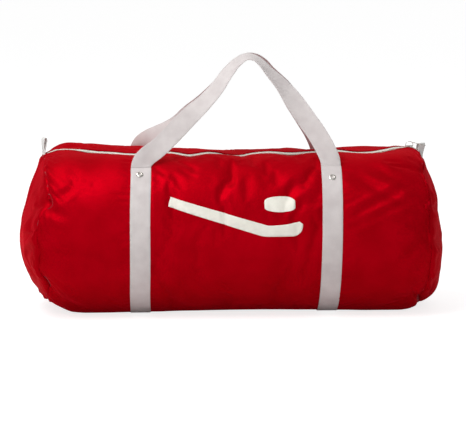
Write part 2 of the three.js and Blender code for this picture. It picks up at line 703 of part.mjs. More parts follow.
// ---------------------------------------------------------------- pull loops
// Webbing doubled into a slim loop that stands on the end seam beside the zip.
function pullLoop(x, middle, height) {
  const foot = BODY_HEIGHT + GAP;
  const inner = LOOP_GAP / 2;
  const outer = inner + LOOP_THICKNESS;
  const top = foot + height - outer;
  const shape = new THREE.Shape();
  shape.moveTo(x - LOOP_THICKNESS, foot);
  shape.lineTo(x + LOOP_THICKNESS, foot);
  shape.quadraticCurveTo(x + LOOP_THICKNESS, foot + height * 0.3, x + outer, foot + height * 0.6);
  shape.lineTo(x + outer, top);
  shape.absarc(x, top, outer, 0, Math.PI, false);
  shape.lineTo(x - outer, foot + height * 0.6);
  shape.quadraticCurveTo(x - LOOP_THICKNESS, foot + height * 0.3, x - LOOP_THICKNESS, foot);
  const eye = new THREE.Path();
  eye.moveTo(x, foot + height * 0.24);
  eye.lineTo(x - inner, foot + height * 0.6);
  eye.lineTo(x - inner, top);
  eye.absarc(x, top, inner, Math.PI, 0, true);
  eye.lineTo(x + inner, foot + height * 0.6);
  eye.closePath();
  shape.holes.push(eye);
  return slabXZ(shape, middle - LOOP_WEBBING / 2, middle + LOOP_WEBBING / 2);
}

const loopStation = TUBE_HALF - 2;
add("left_pull_loop", pullLoop(-loopStation, 0, LEFT_LOOP_HEIGHT), whiteWebbing.clone());
add("right_pull_loop", pullLoop(loopStation, RIGHT_LOOP_SHIFT, RIGHT_LOOP_HEIGHT), whiteWebbing.clone());

// ---------------------------------------------------------------- printed emblem
// An outline about the emblem's middle, in the bag's X and Z, laid on the front panel as a thin film.
function printed(shape) {
  const stations = [-EMBLEM_LENGTH / 2 - 5, EMBLEM_LENGTH / 2 + 5];
  const film = wallPatch(stations, rangeOf(printBand[0], printBand[1], 3), GAP + PRINT_THICKNESS, GAP);
  const block = slabXZ(shape, -BODY_DEPTH, 0, 10).translate(0, 0, EMBLEM_LEVEL);
  return fromSolid(toSolid(film).intersect(toSolid(block)));
}

const [emblemX, emblemZ] = [EMBLEM_LENGTH / 2, EMBLEM_HEIGHT / 2];

// A bold stick lying low across the emblem with its blade turned up at the right.
function stickShape() {
  const shape = new THREE.Shape();
  shape.moveTo(-emblemX, emblemZ - 22);
  shape.lineTo(emblemX * 0.36, -emblemZ + 3);
  shape.quadraticCurveTo(emblemX * 0.42, -emblemZ, emblemX * 0.5, -emblemZ);
  shape.lineTo(emblemX * 0.86, -emblemZ);
  shape.quadraticCurveTo(emblemX, -emblemZ + 4, emblemX, -emblemZ + 30);
  shape.lineTo(emblemX * 0.95, -emblemZ + 36);
  shape.quadraticCurveTo(emblemX * 0.8, -emblemZ + 29, emblemX * 0.56, -emblemZ + 27);
  shape.lineTo(emblemX * 0.48, -emblemZ + 27);
  shape.lineTo(-emblemX + 6, emblemZ);
  shape.closePath();
  return shape;
}

// A puck seen from a little above, over the blade.
function puckShape() {
  const [half, lift, wall] = [38, 11, 15];
  const [x, z] = [emblemX * 0.66, emblemZ - lift];
  const shape = new THREE.Shape();
  shape.moveTo(x - half, z);
  shape.absellipse(x, z, half, lift, Math.PI, 0, true, 0);
  shape.lineTo(x + half, z - wall);
  shape.absellipse(x, z - wall, half, lift, 0, -Math.PI, true, 0);
  shape.closePath();
  return shape;
}

add("emblem_stick", printed(stickShape()), printFilm);
add("emblem_puck", printed(puckShape()), printFilm.clone());

export default bag;
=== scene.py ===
"""The looks of a hockey equipment bag: a soft red barrel with webbing straps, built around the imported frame."""

import json
import math

import bmesh
import bpy
import numpy as np
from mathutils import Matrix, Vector


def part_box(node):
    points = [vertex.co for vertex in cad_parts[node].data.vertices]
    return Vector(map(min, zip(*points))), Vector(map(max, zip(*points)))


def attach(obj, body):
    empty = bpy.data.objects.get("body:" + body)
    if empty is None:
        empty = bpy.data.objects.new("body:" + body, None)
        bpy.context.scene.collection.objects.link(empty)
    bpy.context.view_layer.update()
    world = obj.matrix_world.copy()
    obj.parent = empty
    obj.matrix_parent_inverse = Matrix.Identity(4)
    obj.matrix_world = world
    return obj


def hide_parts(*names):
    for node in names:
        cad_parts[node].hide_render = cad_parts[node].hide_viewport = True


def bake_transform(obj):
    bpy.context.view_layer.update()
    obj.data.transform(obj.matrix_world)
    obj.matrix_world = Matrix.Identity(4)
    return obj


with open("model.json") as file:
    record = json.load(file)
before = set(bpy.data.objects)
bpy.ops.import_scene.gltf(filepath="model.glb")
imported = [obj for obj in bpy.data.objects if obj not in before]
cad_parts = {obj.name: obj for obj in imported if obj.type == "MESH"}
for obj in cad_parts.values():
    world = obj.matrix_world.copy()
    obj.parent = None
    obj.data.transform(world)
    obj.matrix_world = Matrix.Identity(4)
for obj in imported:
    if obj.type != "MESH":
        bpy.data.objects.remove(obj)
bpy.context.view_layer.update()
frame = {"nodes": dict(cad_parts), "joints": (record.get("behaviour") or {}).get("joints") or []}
MM = 0.001
ALONG, BEHIND, UP = np.eye(3)  # the bag's length, to the right; away from the viewer; upwards
JOINTS = {j["name"]: j for j in frame["joints"]}


def low(node):
    return np.array(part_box(node)[0])


def high(node):
    return np.array(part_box(node)[1])


def middle(node):
    return (low(node) + high(node)) / 2


# ---- sizes, from the frame where it holds them ----
TUBE_HALF = high("front_body_panel")[0]
HALF_DEPTH = -low("front_body_panel")[1]
CROWN = high("front_mouth_panel")[2]
STRAP_X = middle("right_girth_strap")[0]
STRAP_WIDTH = 50 * MM
STRAP_THICKNESS = 2 * MM
HANDLE_HINGE = np.array(JOINTS["front_handle_swing"]["pos_m"])
MOUTH_HINGE = np.array(JOINTS["front_mouth_open"]["pos_m"])
RIVET_LEVEL = middle("front_right_rivet")[2]
SLIDER_REST = middle("zip_slider")[0]
HANDLE_TOP = high("front_handle")[2] - 16 * MM
SKIRT = 14 * MM  # how far the round section would reach under the floor
SQUARENESS = 2.3  # 2 is an ellipse; more is squarer shoulders
END_NARROWING = 18 * MM
END_DROP = 12 * MM  # how much lower the crown is at the end seams
CROWN_ZONE = 0.2  # over this level, the cloth belongs to the bag's upper half
TAPER = 75 * MM
CLOTH = 1.2 * MM
ZIP_GAP = 4.8 * MM  # from the zip's middle to each cloth edge
ZIP_TILT = 6 * MM  # the rear cloth stands this much over the zip, and the front cloth lies as much under it


# ---- the camera, the floor and the light ----
ROOM_LIGHT = 0.38
KEY_POWER = 36
TOP_POWER = 45
FILL_POWER = 15
RIM_POWER = 12
FLOOR_REACH = 30
PAPER_LIT, PAPER_SEEN, PAPER_GLOW = 0.82, 0.5, 0.78  # the floor's tone for light, its tone in view, its own light


def make_camera():
    azimuth, elevation, distance = math.radians(-3), math.radians(9), 7.5
    back = Vector((math.sin(azimuth) * math.cos(elevation),
                   -math.cos(azimuth) * math.cos(elevation), math.sin(elevation)))
    across = Vector((math.cos(azimuth), math.sin(azimuth), 0))
    up = back.cross(across)
    target = across * 0.005 + up * 0.208
    camera = placed("camera", bpy.data.cameras.new("camera"))
    camera.data.sensor_width = 36
    camera.data.lens = 228.6
    camera.location = target + back * distance
    camera.rotation_mode = "QUATERNION"
    camera.rotation_quaternion = back.to_track_quat("Z", "Y")
    bpy.context.scene.camera = camera


def make_light(name, location, size, power, aim):
    lamp = bpy.data.lights.new(name, "AREA")
    lamp.shape = "RECTANGLE"
    lamp.size, lamp.size_y = size
    lamp.energy = power
    light = placed(name, lamp)
    light.location = location
    light.rotation_euler = (Vector(aim) - Vector(location)).to_track_quat("-Z", "Y").to_euler()


def make_studio():
    world = bpy.data.worlds.new("studio")
    world.use_nodes = True
    nodes, links = world.node_tree.nodes, world.node_tree.links
    backdrop = nodes["Background"]
    backdrop.inputs["Color"].default_value = (1, 1, 1, 1)
    seen = nodes.new("ShaderNodeLightPath")
    strength = nodes.new("ShaderNodeMapRange")
    strength.inputs["To Min"].default_value = ROOM_LIGHT
    strength.inputs["To Max"].default_value = 1.0
    links.new(seen.outputs["Is Camera Ray"], strength.inputs["Value"])
    links.new(strength.outputs["Result"], backdrop.inputs["Strength"])
    bpy.context.scene.world = world
    bpy.context.scene.view_settings.view_transform = "Standard"
    for light in (("key", (-1.5, -2.0, 3.1), (1.8, 1.4), KEY_POWER, (0, 0, 0.2)),
                  ("fill", (-0.6, -3.6, 0.7), (2.6, 1.2), FILL_POWER, (0, 0, 0.12)),
                  ("top", (-1.1, -0.5, 3.0), (2.6, 1.0), TOP_POWER, (-0.2, 0, 0.2)),
                  ("rim", (0.4, 2.4, 2.4), (3.0, 1.6), RIM_POWER, (0, 0, 0.2))):
        make_light(*light)
    mesh = bpy.data.meshes.new("floor")
    corners = [(x * FLOOR_REACH, y * FLOOR_REACH, 0) for x, y in ((-1, -1), (1, -1), (1, 1), (-1, 1))]
    mesh.from_pydata(corners, [], [(0, 1, 2, 3)])
    floor = placed("floor", mesh)
    floor.location.z = -0.4 * MM
    floor.data.materials.append(floor_paper())


def floor_paper():
    """White paper that looks evenly lit, and throws little light back under the bag."""
    paper = Finish("floor_paper", Roughness=0.9, Emission_Color=(1, 1, 1, 1))
    seen = paper.nodes.new("ShaderNodeLightPath").outputs["Is Camera Ray"]
    tone = paper.nodes.new("ShaderNodeMix")
    tone.data_type = "RGBA"
    for socket, grey in zip(tone.inputs[6:8], (PAPER_LIT, PAPER_SEEN)):
        socket.default_value = (grey, grey, grey, 1)
    paper.links.new(seen, tone.inputs[0])
    paper.links.new(tone.outputs[2], paper.sockets["Base Color"])
    paper.links.new(paper.maths("MULTIPLY", seen, PAPER_GLOW), paper.sockets["Emission Strength"])
    return paper.material


def placed(name, data):
    """A new object in the scene."""
    obj = bpy.data.objects.new(name, data)
    bpy.context.scene.collection.objects.link(obj)
    return obj


def settle(obj, body, slot, *nodes):
    """The piece rides on a body and stands for CAD nodes, whose parts it hides; the slot is not used."""
    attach(obj, body)
    finish_as(obj, slot, *nodes)


def finish_as(obj, slot, *nodes):
    if nodes:
        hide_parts(*nodes)


# ---- small mathematics ----
def through(points):
    """A smooth curve through a few points (place, value), level at both ends."""
    xs, ys = (np.array(v, float) for v in zip(*points))
    slopes = np.gradient(ys, xs)
    slopes[0] = slopes[-1] = 0

    def value(x):
        x = np.clip(x, xs[0], xs[-1])
        k = np.clip(np.searchsorted(xs, x) - 1, 0, len(xs) - 2)
        span = xs[k + 1] - xs[k]
        u = (x - xs[k]) / span
        return (ys[k] * (1 + 2 * u) * (1 - u) ** 2 + slopes[k] * span * u * (1 - u) ** 2
                + ys[k + 1] * u * u * (3 - 2 * u) + slopes[k + 1] * span * u * u * (u - 1))

    return value


def in_mm(points):
    return np.array(points) * MM


def between(points):
    """Straight lines through a few points (place, value)."""
    xs, ys = zip(*points)
    return lambda x: np.interp(x, xs, ys)


def smoothstep(x, start, end):
    u = np.clip((x - start) / (end - start), 0, 1)
    return u * u * (3 - 2 * u)


def ripples(x, y, seed, size):
    """Rolling noise about 1 high: a few fixed waves in different directions."""
    total = 0
    for k in range(6):
        turn = seed * 1.7 + k * 2.4
        phase = (x * np.cos(turn) + y * np.sin(turn)) * math.tau / size * (1 + 0.23 * k)
        total = total + np.sin(phase + 5.1 * seed + 1.9 * k * k)
    return total / 3


def run_length(path):
    """The distance along a path at each of its points."""
    return np.concatenate([[0], np.cumsum(np.linalg.norm(np.diff(path, axis=0), axis=1))])


def unit(v):
    return v / np.maximum(np.linalg.norm(v, axis=-1, keepdims=True), 1e-12)


def fold(x, z, start, end, width, depth):
    """A soft valley along a straight line, with a low ridge on each side, fading at both ends."""
    (x1, z1), (x2, z2) = np.array(start) * MM, np.array(end) * MM
    length = math.hypot(x2 - x1, z2 - z1)
    along = ((x - x1) * (x2 - x1) + (z - z1) * (z2 - z1)) / length ** 2
    aside = ((x - x1) * (z2 - z1) - (z - z1) * (x2 - x1)) / length / (width * MM)
    shape = np.exp(-aside ** 2) - 0.5 * np.exp(-((np.abs(aside) - 1.7) / 0.9) ** 2)
    return -depth * MM * shape * smoothstep(along, -0.25, 0.3) * (1 - smoothstep(along, 0.7, 1.25))


# ---- the cloth skin: one grid of rings, from the left end's middle to the right end's ----
MOST_MOVE = 11 * MM  # how far the simulation may carry a point
HALF_COLUMNS = 84
TUBE_ROWS = 118
END_ROWS = 22

zip_level = through(in_mm([
    (-482, 391), (-462, 395.5), (-445, 400), (-430, 402.5), (-415, 402.8), (-391, 401.5), (-346, 395.5),
    (-288, 391), (-262, 388.5), (-148, 392), (-106, 385.5), (-55, 390.5), (0, 382.5), (20, 382), (54, 388),
    (91, 391.5), (147, 388.5), (203, 391.5), (262, 395), (315, 388.5), (353, 389), (390, 395.5), (415, 401),
    (435, 402.8), (452, 402.2), (463, 397), (472, 390), (482, 381),
]))
# How high the rear cloth stands behind the zip, as the level of its outline seen from 9 degrees up.
COS_VIEW, SIN_VIEW = 0.988, 0.156
rear_rise = through(in_mm([
    (-482, 388), (-437, 413), (-418, 418), (-384, 414.5), (-346, 412.7), (-308, 409.8), (-216, 408.5),
    (-148, 400.5), (-106, 397.3), (-60, 396), (20, 394.2), (91, 394), (147, 397), (256, 397.5), (297, 400),
    (334, 401.8), (390, 400.5), (420, 400), (439, 399.5), (457, 395), (482, 375),
]))
zip_aside = through(in_mm([
    (-480, 0), (-418, 0), (-300, 3), (-150, -3), (0, 4), (100, -1), (250, -4), (360, 2), (450, 0), (480, 0),
]))
base_rise = through(in_mm([
    (-482, 29), (-462, 24), (-436, 14), (-405, 4), (-370, 0), (390, 0), (435, 1), (455, 4), (470, 10),
    (482, 17),
]))


def base_level(x):
    return np.maximum(base_rise(x), 0)


left_seam = between(in_mm([
    (30, 18), (57, 20), (78, 26), (100, 15), (124, 0), (151, 3), (178, 4), (201, 0), (227.5, -5), (243, -1),
    (269, 8.6), (286, 22), (294, 33), (318, 24.5), (347, 17), (377, 15), (395, 20),
]))
right_seam = between(in_mm([
    (30, -14), (37, -16), (46, -20.5), (63, -8.7), (88, -1.6), (127, -1), (165, 2.8), (190, 1), (199, -5.6),
    (240, -5.6), (277, -4.4), (318, -1.4), (331, -4), (354, -14.5), (361.6, -16.7), (379, -8), (400, -2),
]))
left_bulge = through(in_mm([
    (0, 0), (20, 2), (46, 15), (76, 32), (106, 45), (137, 53), (200, 56), (262, 49), (292, 41), (320, 32),
    (350, 18), (410, 0),
]))
right_bulge = through(in_mm([
    (0, 0), (12, 14), (30, 37), (51, 50), (90, 52), (170, 52), (236, 48), (299, 42), (342, 27), (375, 11),
    (410, 0),
]))
skirt = through(in_mm([
    (-482, 12), (-350, 12), (-220, 10), (-100, 7), (120, 6), (220, 8), (350, 12), (482, 12),
]))


def section(angle, half_depth, top, bottom, under):
    """The outline at an angle from the front: squared shoulders, and a flat where it rests on the floor."""
    centre = (top + bottom - under) / 2
    half_height = (top - bottom + under) / 2
    sine, cosine = np.sin(angle), np.maximum(np.cos(angle), 0)
    power = np.where(sine > 0, 2 / SQUARENESS, 1)
    y = -half_depth * cosine ** power
    z = centre + half_height * np.sign(sine) * np.abs(sine) ** power
    return y, np.maximum(z, bottom)


def even_angles():
    """Angles from the base's middle, up the front to the crown, at even steps along the outline."""
    fine = np.linspace(-math.pi / 2, math.pi / 2, 4000)
    length = run_length(np.stack(section(fine, HALF_DEPTH, CROWN, 0, SKIRT), -1))
    return np.interp(np.linspace(0, length[-1], HALF_COLUMNS + 1), length, fine), length[-1]


ANGLES, HALF_GIRTH = even_angles()


def tube_stations():
    u = np.linspace(-1, 1, TUBE_ROWS)
    crowding = 0.3
    return TUBE_HALF * (u * (1 + crowding) - crowding * u ** 3)


def target_skin():
    """Where the cloth lies before it is relaxed: rows of (x, y, z) round the bag."""
    share = np.arange(2 * HALF_COLUMNS) / HALF_COLUMNS
    angle = np.interp(np.minimum(share, 2 - share), np.linspace(0, 1, HALF_COLUMNS + 1), ANGLES)
    side = np.where(share <= 1, 1.0, -1.0)
    rows = []
    for x in tube_stations():
        end = np.clip((abs(x) - TUBE_HALF + TAPER) / TAPER, 0, 1) ** 2
        crown = CROWN - END_DROP * end
        y, z = section(angle, HALF_DEPTH - END_NARROWING * end, crown, base_level(x), skirt(x))
        y = y * side
        upper = z > CROWN_ZONE
        near_zip = (1 - smoothstep(np.abs(y), 0, 0.115)) * upper
        z = z - (crown - zip_level(x)) * near_zip
        tilt = ZIP_TILT * (1 - 0.85 * smoothstep(x, 0.405, 0.44)) * (0.15 + 0.85 * smoothstep(x, -0.41, -0.355))
        leaning = np.where(y > 0, 1 - smoothstep(y, 0.012, 0.075), 1 - smoothstep(-y, 0.008, 0.05))
        z = z + tilt * np.tanh(y / 0.006) * leaning * upper
        behind = smoothstep(y, 0.004, 0.04) * (1 - smoothstep(y, 0.09, 0.17)) * upper
        for _ in range(3):
            outline = np.max((COS_VIEW * z + SIN_VIEW * y)[(y > 0) & upper])
            z = z + behind * (rear_rise(x) - outline) / COS_VIEW
        y = y + zip_aside(x) * near_zip
        front = smoothstep(-y, -0.03, 0.06)
        rear_wave = 0.006 * ripples(share, 0, 3 + np.sign(x), 0.5)
        drawn_in = 5.5 * MM * np.sign(x)
        shift = (np.where(x < 0, left_seam(z), right_seam(z)) + drawn_in) * front + rear_wave * (1 - front)
        reach = smoothstep(abs(x), TUBE_HALF - 0.10, TUBE_HALF)
        rows.append(np.stack([x + shift * reach, y, z], -1))
    tube = np.array(rows)
    return np.concatenate([end_rows(tube[0], -1)[::-1], tube, end_rows(tube[-1], 1)])


def end_rows(seam, sign):
    """Rings from the seam in to the middle of an end panel, which bulges out and gathers at the seam."""
    bulge = left_bulge if sign < 0 else right_bulge
    centre = np.array([seam[:, 0].mean(), 0, 0.2])
    top = seam[:, 2].max()
    share = np.arange(len(seam)) / HALF_COLUMNS
    rings = []
    for k in range(1, END_ROWS + 1):
        inward = (k / END_ROWS) ** 1.15
        size = max(1 - inward, 0.02)
        ring = centre + (seam - centre) * size
        ring[:, 0] = seam[:, 0] * size ** 2 + centre[0] * (1 - size ** 2)
        level = np.clip(ring[:, 2] * 0.41 / top, 0, 0.41)
        half = np.interp(level, seam[: HALF_COLUMNS + 1, 2], -seam[: HALF_COLUMNS + 1, 1])
        half = np.maximum(half, 0.03)
        crowned = np.clip(1 - (ring[:, 1] / half) ** 2, 0, 1) ** 0.62
        out = bulge(level) * crowned
        gather = np.exp(-inward / 0.16) * ripples(share, inward * 0.2, 5 + sign, 0.11)
        soft = ripples(ring[:, 1], ring[:, 2], 7 + sign, 0.16) * smoothstep(inward, 0.02, 0.3)
        ring[:, 0] += sign * (out + 0.0022 * gather * smoothstep(inward, 0, 0.05) + 0.0022 * soft)
        rings.append(ring)
    return np.array(rings)


def outward(grid):
    """Unit normals of a ring grid."""
    along = np.gradient(grid, axis=0)
    around = np.roll(grid, -1, 1) - np.roll(grid, 1, 1)
    return unit(np.cross(along, around))


def sculpt(grid):
    """Folds, dents and gathers that packing and handling leave in the cloth."""
    x, y, z = grid[..., 0], grid[..., 1], grid[..., 2]
    share = (np.arange(grid.shape[1]) / HALF_COLUMNS)[None, :] + 0 * x
    front = smoothstep(-y, 0.02, 0.12)
    push = np.zeros_like(x)
    for start, end, width, depth in FRONT_FOLDS:
        push += 1.35 * front * fold(x, z, start, end, width, depth)
    for start, end, width, depth in REAR_FOLDS:
        push += (1 - front) * smoothstep(y, 0.02, 0.12) * fold(x, z, start, end, width, depth)
    tube = slice(END_ROWS, END_ROWS + TUBE_ROWS)
    edge = TUBE_HALF - np.abs(tube_stations())[:, None]
    held = smoothstep(z[tube], 0.008, 0.05)
    free = held * smoothstep(edge, 0.0, 0.05) * smoothstep(np.abs(y[tube]), 0.01, 0.08)
    push[tube] += 0.0012 * free * ripples(x[tube], share[tube] * HALF_GIRTH, 2, 0.23)
    for ends, sign in ((slice(0, END_ROWS), -1), (slice(END_ROWS + TUBE_ROWS, None), 1)):
        for start, end, width, depth in END_FOLDS[sign]:
            push[ends] += fold(y[ends], z[ends], start, end, width, depth)
    return grid + outward(grid) * push[..., None]


def sew_ends(grid):
    """Draws the cloth in along both end seams, with small pleats on each side of the stitching."""
    rows = np.arange(len(grid))
    share = np.arange(grid.shape[1]) / grid.shape[1] * 2
    push = np.zeros(grid.shape[:2])
    for seam_row, sign in ((2 * END_ROWS, -1), (2 * (END_ROWS + TUBE_ROWS - 1), 1)):
        gap = np.linalg.norm(np.diff(grid, axis=0), axis=-1)
        place = np.concatenate([np.zeros((1, grid.shape[1])), np.cumsum(gap, axis=0)])
        off = place - place[seam_row]
        inside = np.where(sign * off < 0, 1.0, 0.7)
        wander = 1 + 0.5 * ripples(share, 0, 9 + sign, 0.23)
        groove = 0.0085 * wander * np.exp(-(np.abs(off) / 0.0050) ** 1.3)
        pleats = np.exp(-np.abs(off) / (0.020 * inside)) * smoothstep(np.abs(off), 0.0015, 0.008)
        push += 0.0026 * pleats * ripples(share + 2.2 * off, 0, 5 + sign, 0.085) - groove
    push *= smoothstep(grid[..., 2], 0.004, 0.03) * (np.abs(rows - len(grid) / 2) > 20)[:, None]
    return grid + outward(grid) * push[..., None]


# Each fold on the front: (x, z) start, (x, z) end, half width and depth, in millimetres.
FRONT_FOLDS = [
    ((285, 262), (405, 318), 11, 3.4), ((275, 232), (430, 300), 10, 2.4), ((300, 345), (440, 285), 13, 2.6),
    ((330, 372), (455, 322), 12, 2.8), ((120, 322), (195, 352), 13, 3.0), ((150, 286), (205, 300), 12, 1.6),
    ((-40, 325), (0, 352), 14, 1.8), ((40, 318), (25, 350), 14, 1.4), ((-452, 300), (-395, 330), 10, 3.4),
    ((-455, 285), (-410, 262), 12, 2.6), ((-470, 96), (-430, 44), 8, 3.6), ((-440, 62), (-385, 22), 12, 2.6),
    ((-395, 352), (-330, 330), 13, 1.8), ((-205, 120), (-150, 40), 15, 1.4), ((440, 60), (475, 22), 9, 4.2),
    ((400, 40), (468, 40), 12, 2.2), ((200, 232), (170, 110), 14, 1.2), ((420, 150), (472, 210), 12, 2.0),
    ((-300, 80), (-360, 170), 18, 1.4),
]
# The same on the two end panels, by (y, z).
END_FOLDS = {
    -1: [((-215, 296), (-110, 306), 13, 6.0), ((-205, 98), (-120, 62), 14, 6.0), ((-205, 232), (-100, 196), 15, 4.0),
         ((-190, 345), (-120, 372), 11, 4.0), ((60, 330), (150, 300), 16, 4.0), ((70, 90), (160, 70), 15, 4.0)],
    1: [((-200, 345), (-110, 318), 12, 5.0), ((-205, 66), (-110, 92), 13, 5.0), ((-210, 190), (-90, 176), 14, 4.0),
        ((-200, 282), (-120, 262), 12, 3.0), ((70, 320), (160, 290), 16, 4.0), ((80, 110), (170, 90), 15, 4.0)],
}
REAR_FOLDS = [
    ((-430, 300), (-330, 260), 12, 3.2), ((300, 330), (420, 300), 14, 3.0), ((-120, 360), (-60, 300), 15, 2.6),
    ((60, 350), (130, 310), 14, 2.6), ((380, 90), (460, 50), 10, 3.4), ((-450, 60), (-380, 30), 11, 3.2),
    ((-300, 180), (-420, 150), 16, 2.2), ((290, 150), (400, 190), 16, 2.0),
]


def grid_faces(rows, columns, wrap=False):
    """Quads of a grid; with wrap, the last column joins the first."""
    r = np.arange(rows - 1)[:, None]
    c = np.arange(columns if wrap else columns - 1)[None, :]
    d = (c + 1) % columns
    corners = [r * columns + c, (r + 1) * columns + c, (r + 1) * columns + d, r * columns + d]
    return np.stack([np.broadcast_to(k, (rows - 1, c.shape[1])) for k in corners], -1).reshape(-1, 4)


def tube_faces(rows, columns):
    """Quads round a tube of rings, and a face over each end."""
    faces = grid_faces(rows, columns, True).tolist()
    faces.append(list(range(columns))[::-1])
    faces.append([(rows - 1) * columns + k for k in range(columns)])
    return faces


def ring_faces(rows, columns):
    """Quads of a tube that closes on itself."""
    return grid_faces(rows + 1, columns, True) % (rows * columns)


def relax(grid):
    """Lets the skin settle as pressed-out cloth, softly held to its place, and returns the grid."""
    rows, columns = grid.shape[:2]
    mesh = bpy.data.meshes.new("relaxing_skin")
    mesh.from_pydata(grid.reshape(-1, 3).tolist(), [], tube_faces(rows, columns))
    skin = placed("relaxing_skin", mesh)
    x, y, z = grid[..., 0], grid[..., 1], grid[..., 2]
    row = np.arange(rows)[:, None] + 0 * x
    at_strap = (1 - smoothstep(np.abs(np.abs(x) - STRAP_X), 0.02, 0.035)) * (np.abs(x) < 0.3)
    at_seam = (row == END_ROWS) | (row == END_ROWS + TUBE_ROWS - 1)
    at_tip = (row < 3) | (row > rows - 4)
    hold = np.maximum.reduce([0.10 + 0 * x, 1 - smoothstep(z, 0.004, 0.03),
                              (z > 0.3) * (1 - smoothstep(np.abs(y), 0.006, 0.03)),
                              0.75 * at_strap, 0.9 * at_seam, 1.0 * at_tip])
    near_seam = np.exp(-np.abs(np.abs(x) - TUBE_HALF) / 0.05)
    for name, weights in (("hold", hold), ("gather", np.clip(near_seam, 0, 1))):
        group = skin.vertex_groups.new(name=name)
        for k, w in enumerate(weights.ravel()):
            group.add([k], float(w), "REPLACE")
    cloth = skin.modifiers.new("cloth", "CLOTH")
    settings = cloth.settings
    for name, value in dict(
            quality=6, mass=0.3, tension_stiffness=25, compression_stiffness=25, shear_stiffness=12,
            bending_stiffness=0.15, vertex_group_mass="hold", pin_stiffness=1.0, use_pressure=True,
            uniform_pressure_force=4, vertex_group_shrink="gather", shrink_min=-0.012, shrink_max=0.03).items():
        setattr(settings, name, value)
    settings.effector_weights.gravity = 0
    cloth.collision_settings.use_collision = False
    scene = bpy.context.scene
    for number in range(1, 21):
        scene.frame_set(number)
    settled = skin.evaluated_get(bpy.context.evaluated_depsgraph_get()).to_mesh()
    found = np.zeros(len(settled.vertices) * 3)
    settled.vertices.foreach_get("co", found)
    move = found.reshape(grid.shape) - grid
    bpy.data.objects.remove(skin)
    scene.frame_set(1)
    size = np.linalg.norm(move, axis=-1, keepdims=True)
    grid = grid + move * MOST_MOVE * np.tanh(size / MOST_MOVE) / np.maximum(size, 1e-9)
    grid[..., 2] = np.maximum(grid[..., 2], 0.2 * MM)
    return grid


def doubled(grid, axis, wrap):
    """Adds a row or column between each two, on a smooth curve through its four neighbours."""
    grid = np.moveaxis(grid, axis, 0)
    if wrap:
        padded = np.concatenate([grid[-1:], grid, grid[:2]])
    else:
        padded = np.concatenate([2 * grid[:1] - grid[1:2], grid, 2 * grid[-1:] - grid[-2:-1]])
    midway = (9 * (padded[1:-2] + padded[2:-1]) - padded[:-3] - padded[3:]) / 16
    result = np.empty((len(grid) + len(midway),) + grid.shape[1:])
    result[0::2] = grid
    result[1::2] = midway
    return np.moveaxis(result, 0, axis)


def fine_skin():
    grid = sculpt(target_skin())
    grid = relax(grid)
    return sew_ends(doubled(doubled(grid, 0, False), 1, True))


SKIN = fine_skin()
SKIN_OUT = outward(SKIN)
COLUMNS = SKIN.shape[1]
TOP_COLUMN = COLUMNS // 2
FIRST_SEAM = 2 * END_ROWS
LAST_SEAM = 2 * (END_ROWS + TUBE_ROWS - 1)
TUBE_X = doubled(tube_stations()[:, None], 0, False)[:, 0]


def on_skin(x, share, lift=0.0):
    """Points and normals on the barrel at stations x and shares of the half girth: 0 base, 1 zip, 2 base again."""
    x, share, lift = np.broadcast_arrays(np.asarray(x, float), np.asarray(share, float), np.asarray(lift, float))
    row = np.interp(x, TUBE_X, np.arange(len(TUBE_X))) + FIRST_SEAM
    column = share * TOP_COLUMN
    r, c = np.floor(row).astype(int), np.floor(column).astype(int)
    u, v = (row - r)[..., None], (column - c)[..., None]
    r2 = np.minimum(r + 1, LAST_SEAM)

    def pick(field):
        return ((1 - u) * ((1 - v) * field[r, c % COLUMNS] + v * field[r, (c + 1) % COLUMNS])
                + u * ((1 - v) * field[r2, c % COLUMNS] + v * field[r2, (c + 1) % COLUMNS]))

    normal = unit(pick(SKIN_OUT))
    return pick(SKIN) + normal * lift[..., None], normal


def share_at_level(x, level, rear=False):
    """The share of the half girth where the front, or the rear, of the barrel is at that level."""
    shares = np.linspace(0.18, 0.995, 260)
    points, _ = on_skin(x, 2 - shares if rear else shares)
    share = np.interp(level, points[..., 2], shares)
    return 2 - share if rear else share


# ---- meshes ----
def make_object(name, vertices, faces, material, uv=None):
    mesh = bpy.data.meshes.new(name)
    mesh.from_pydata(np.asarray(vertices, float).reshape(-1, 3).tolist(), [], [list(map(int, f)) for f in faces])
    mesh.validate()
    if uv is not None:
        layer = mesh.uv_layers.new(name="weave")
        loops = np.zeros(len(mesh.loops), int)
        mesh.loops.foreach_get("vertex_index", loops)
        layer.data.foreach_set("uv", np.asarray(uv, np.float32).reshape(-1, 2)[loops].ravel())
    mesh.shade_smooth()
    mesh.materials.append(material)
    return placed(name, mesh)


def sheet_solid(name, grid, normals, thickness, material, uv, tip=None):
    """A cloth of real thickness: the grid is its outer face. With tip, it is a tube with that end closed over."""
    rows, columns = grid.shape[:2]
    tube = tip is not None
    faces = grid_faces(rows, columns, tube)
    count = rows * columns
    index = np.arange(count).reshape(rows, columns)
    lines = [index[0][::-1], index[-1]]
    if tube:
        lines = [np.append(line, line[0]) for line in lines]
        del lines[tip]
    else:
        lines += [index[:, 0], index[::-1, -1]]
    faces = np.concatenate([faces, faces[:, ::-1] + count] + [
        np.stack([line[1:], line[:-1], line[:-1] + count, line[1:] + count], -1) for line in lines]).tolist()
    if tube:
        faces += [index[tip].tolist(), (index[tip] + count).tolist()]
    vertices = np.concatenate([grid.reshape(-1, 3), (grid - normals * thickness).reshape(-1, 3)])
    obj = make_object(name, vertices, faces, material, np.tile(uv.reshape(-1, 2), (2, 1)))
    return fix_normals(obj) if tube else obj


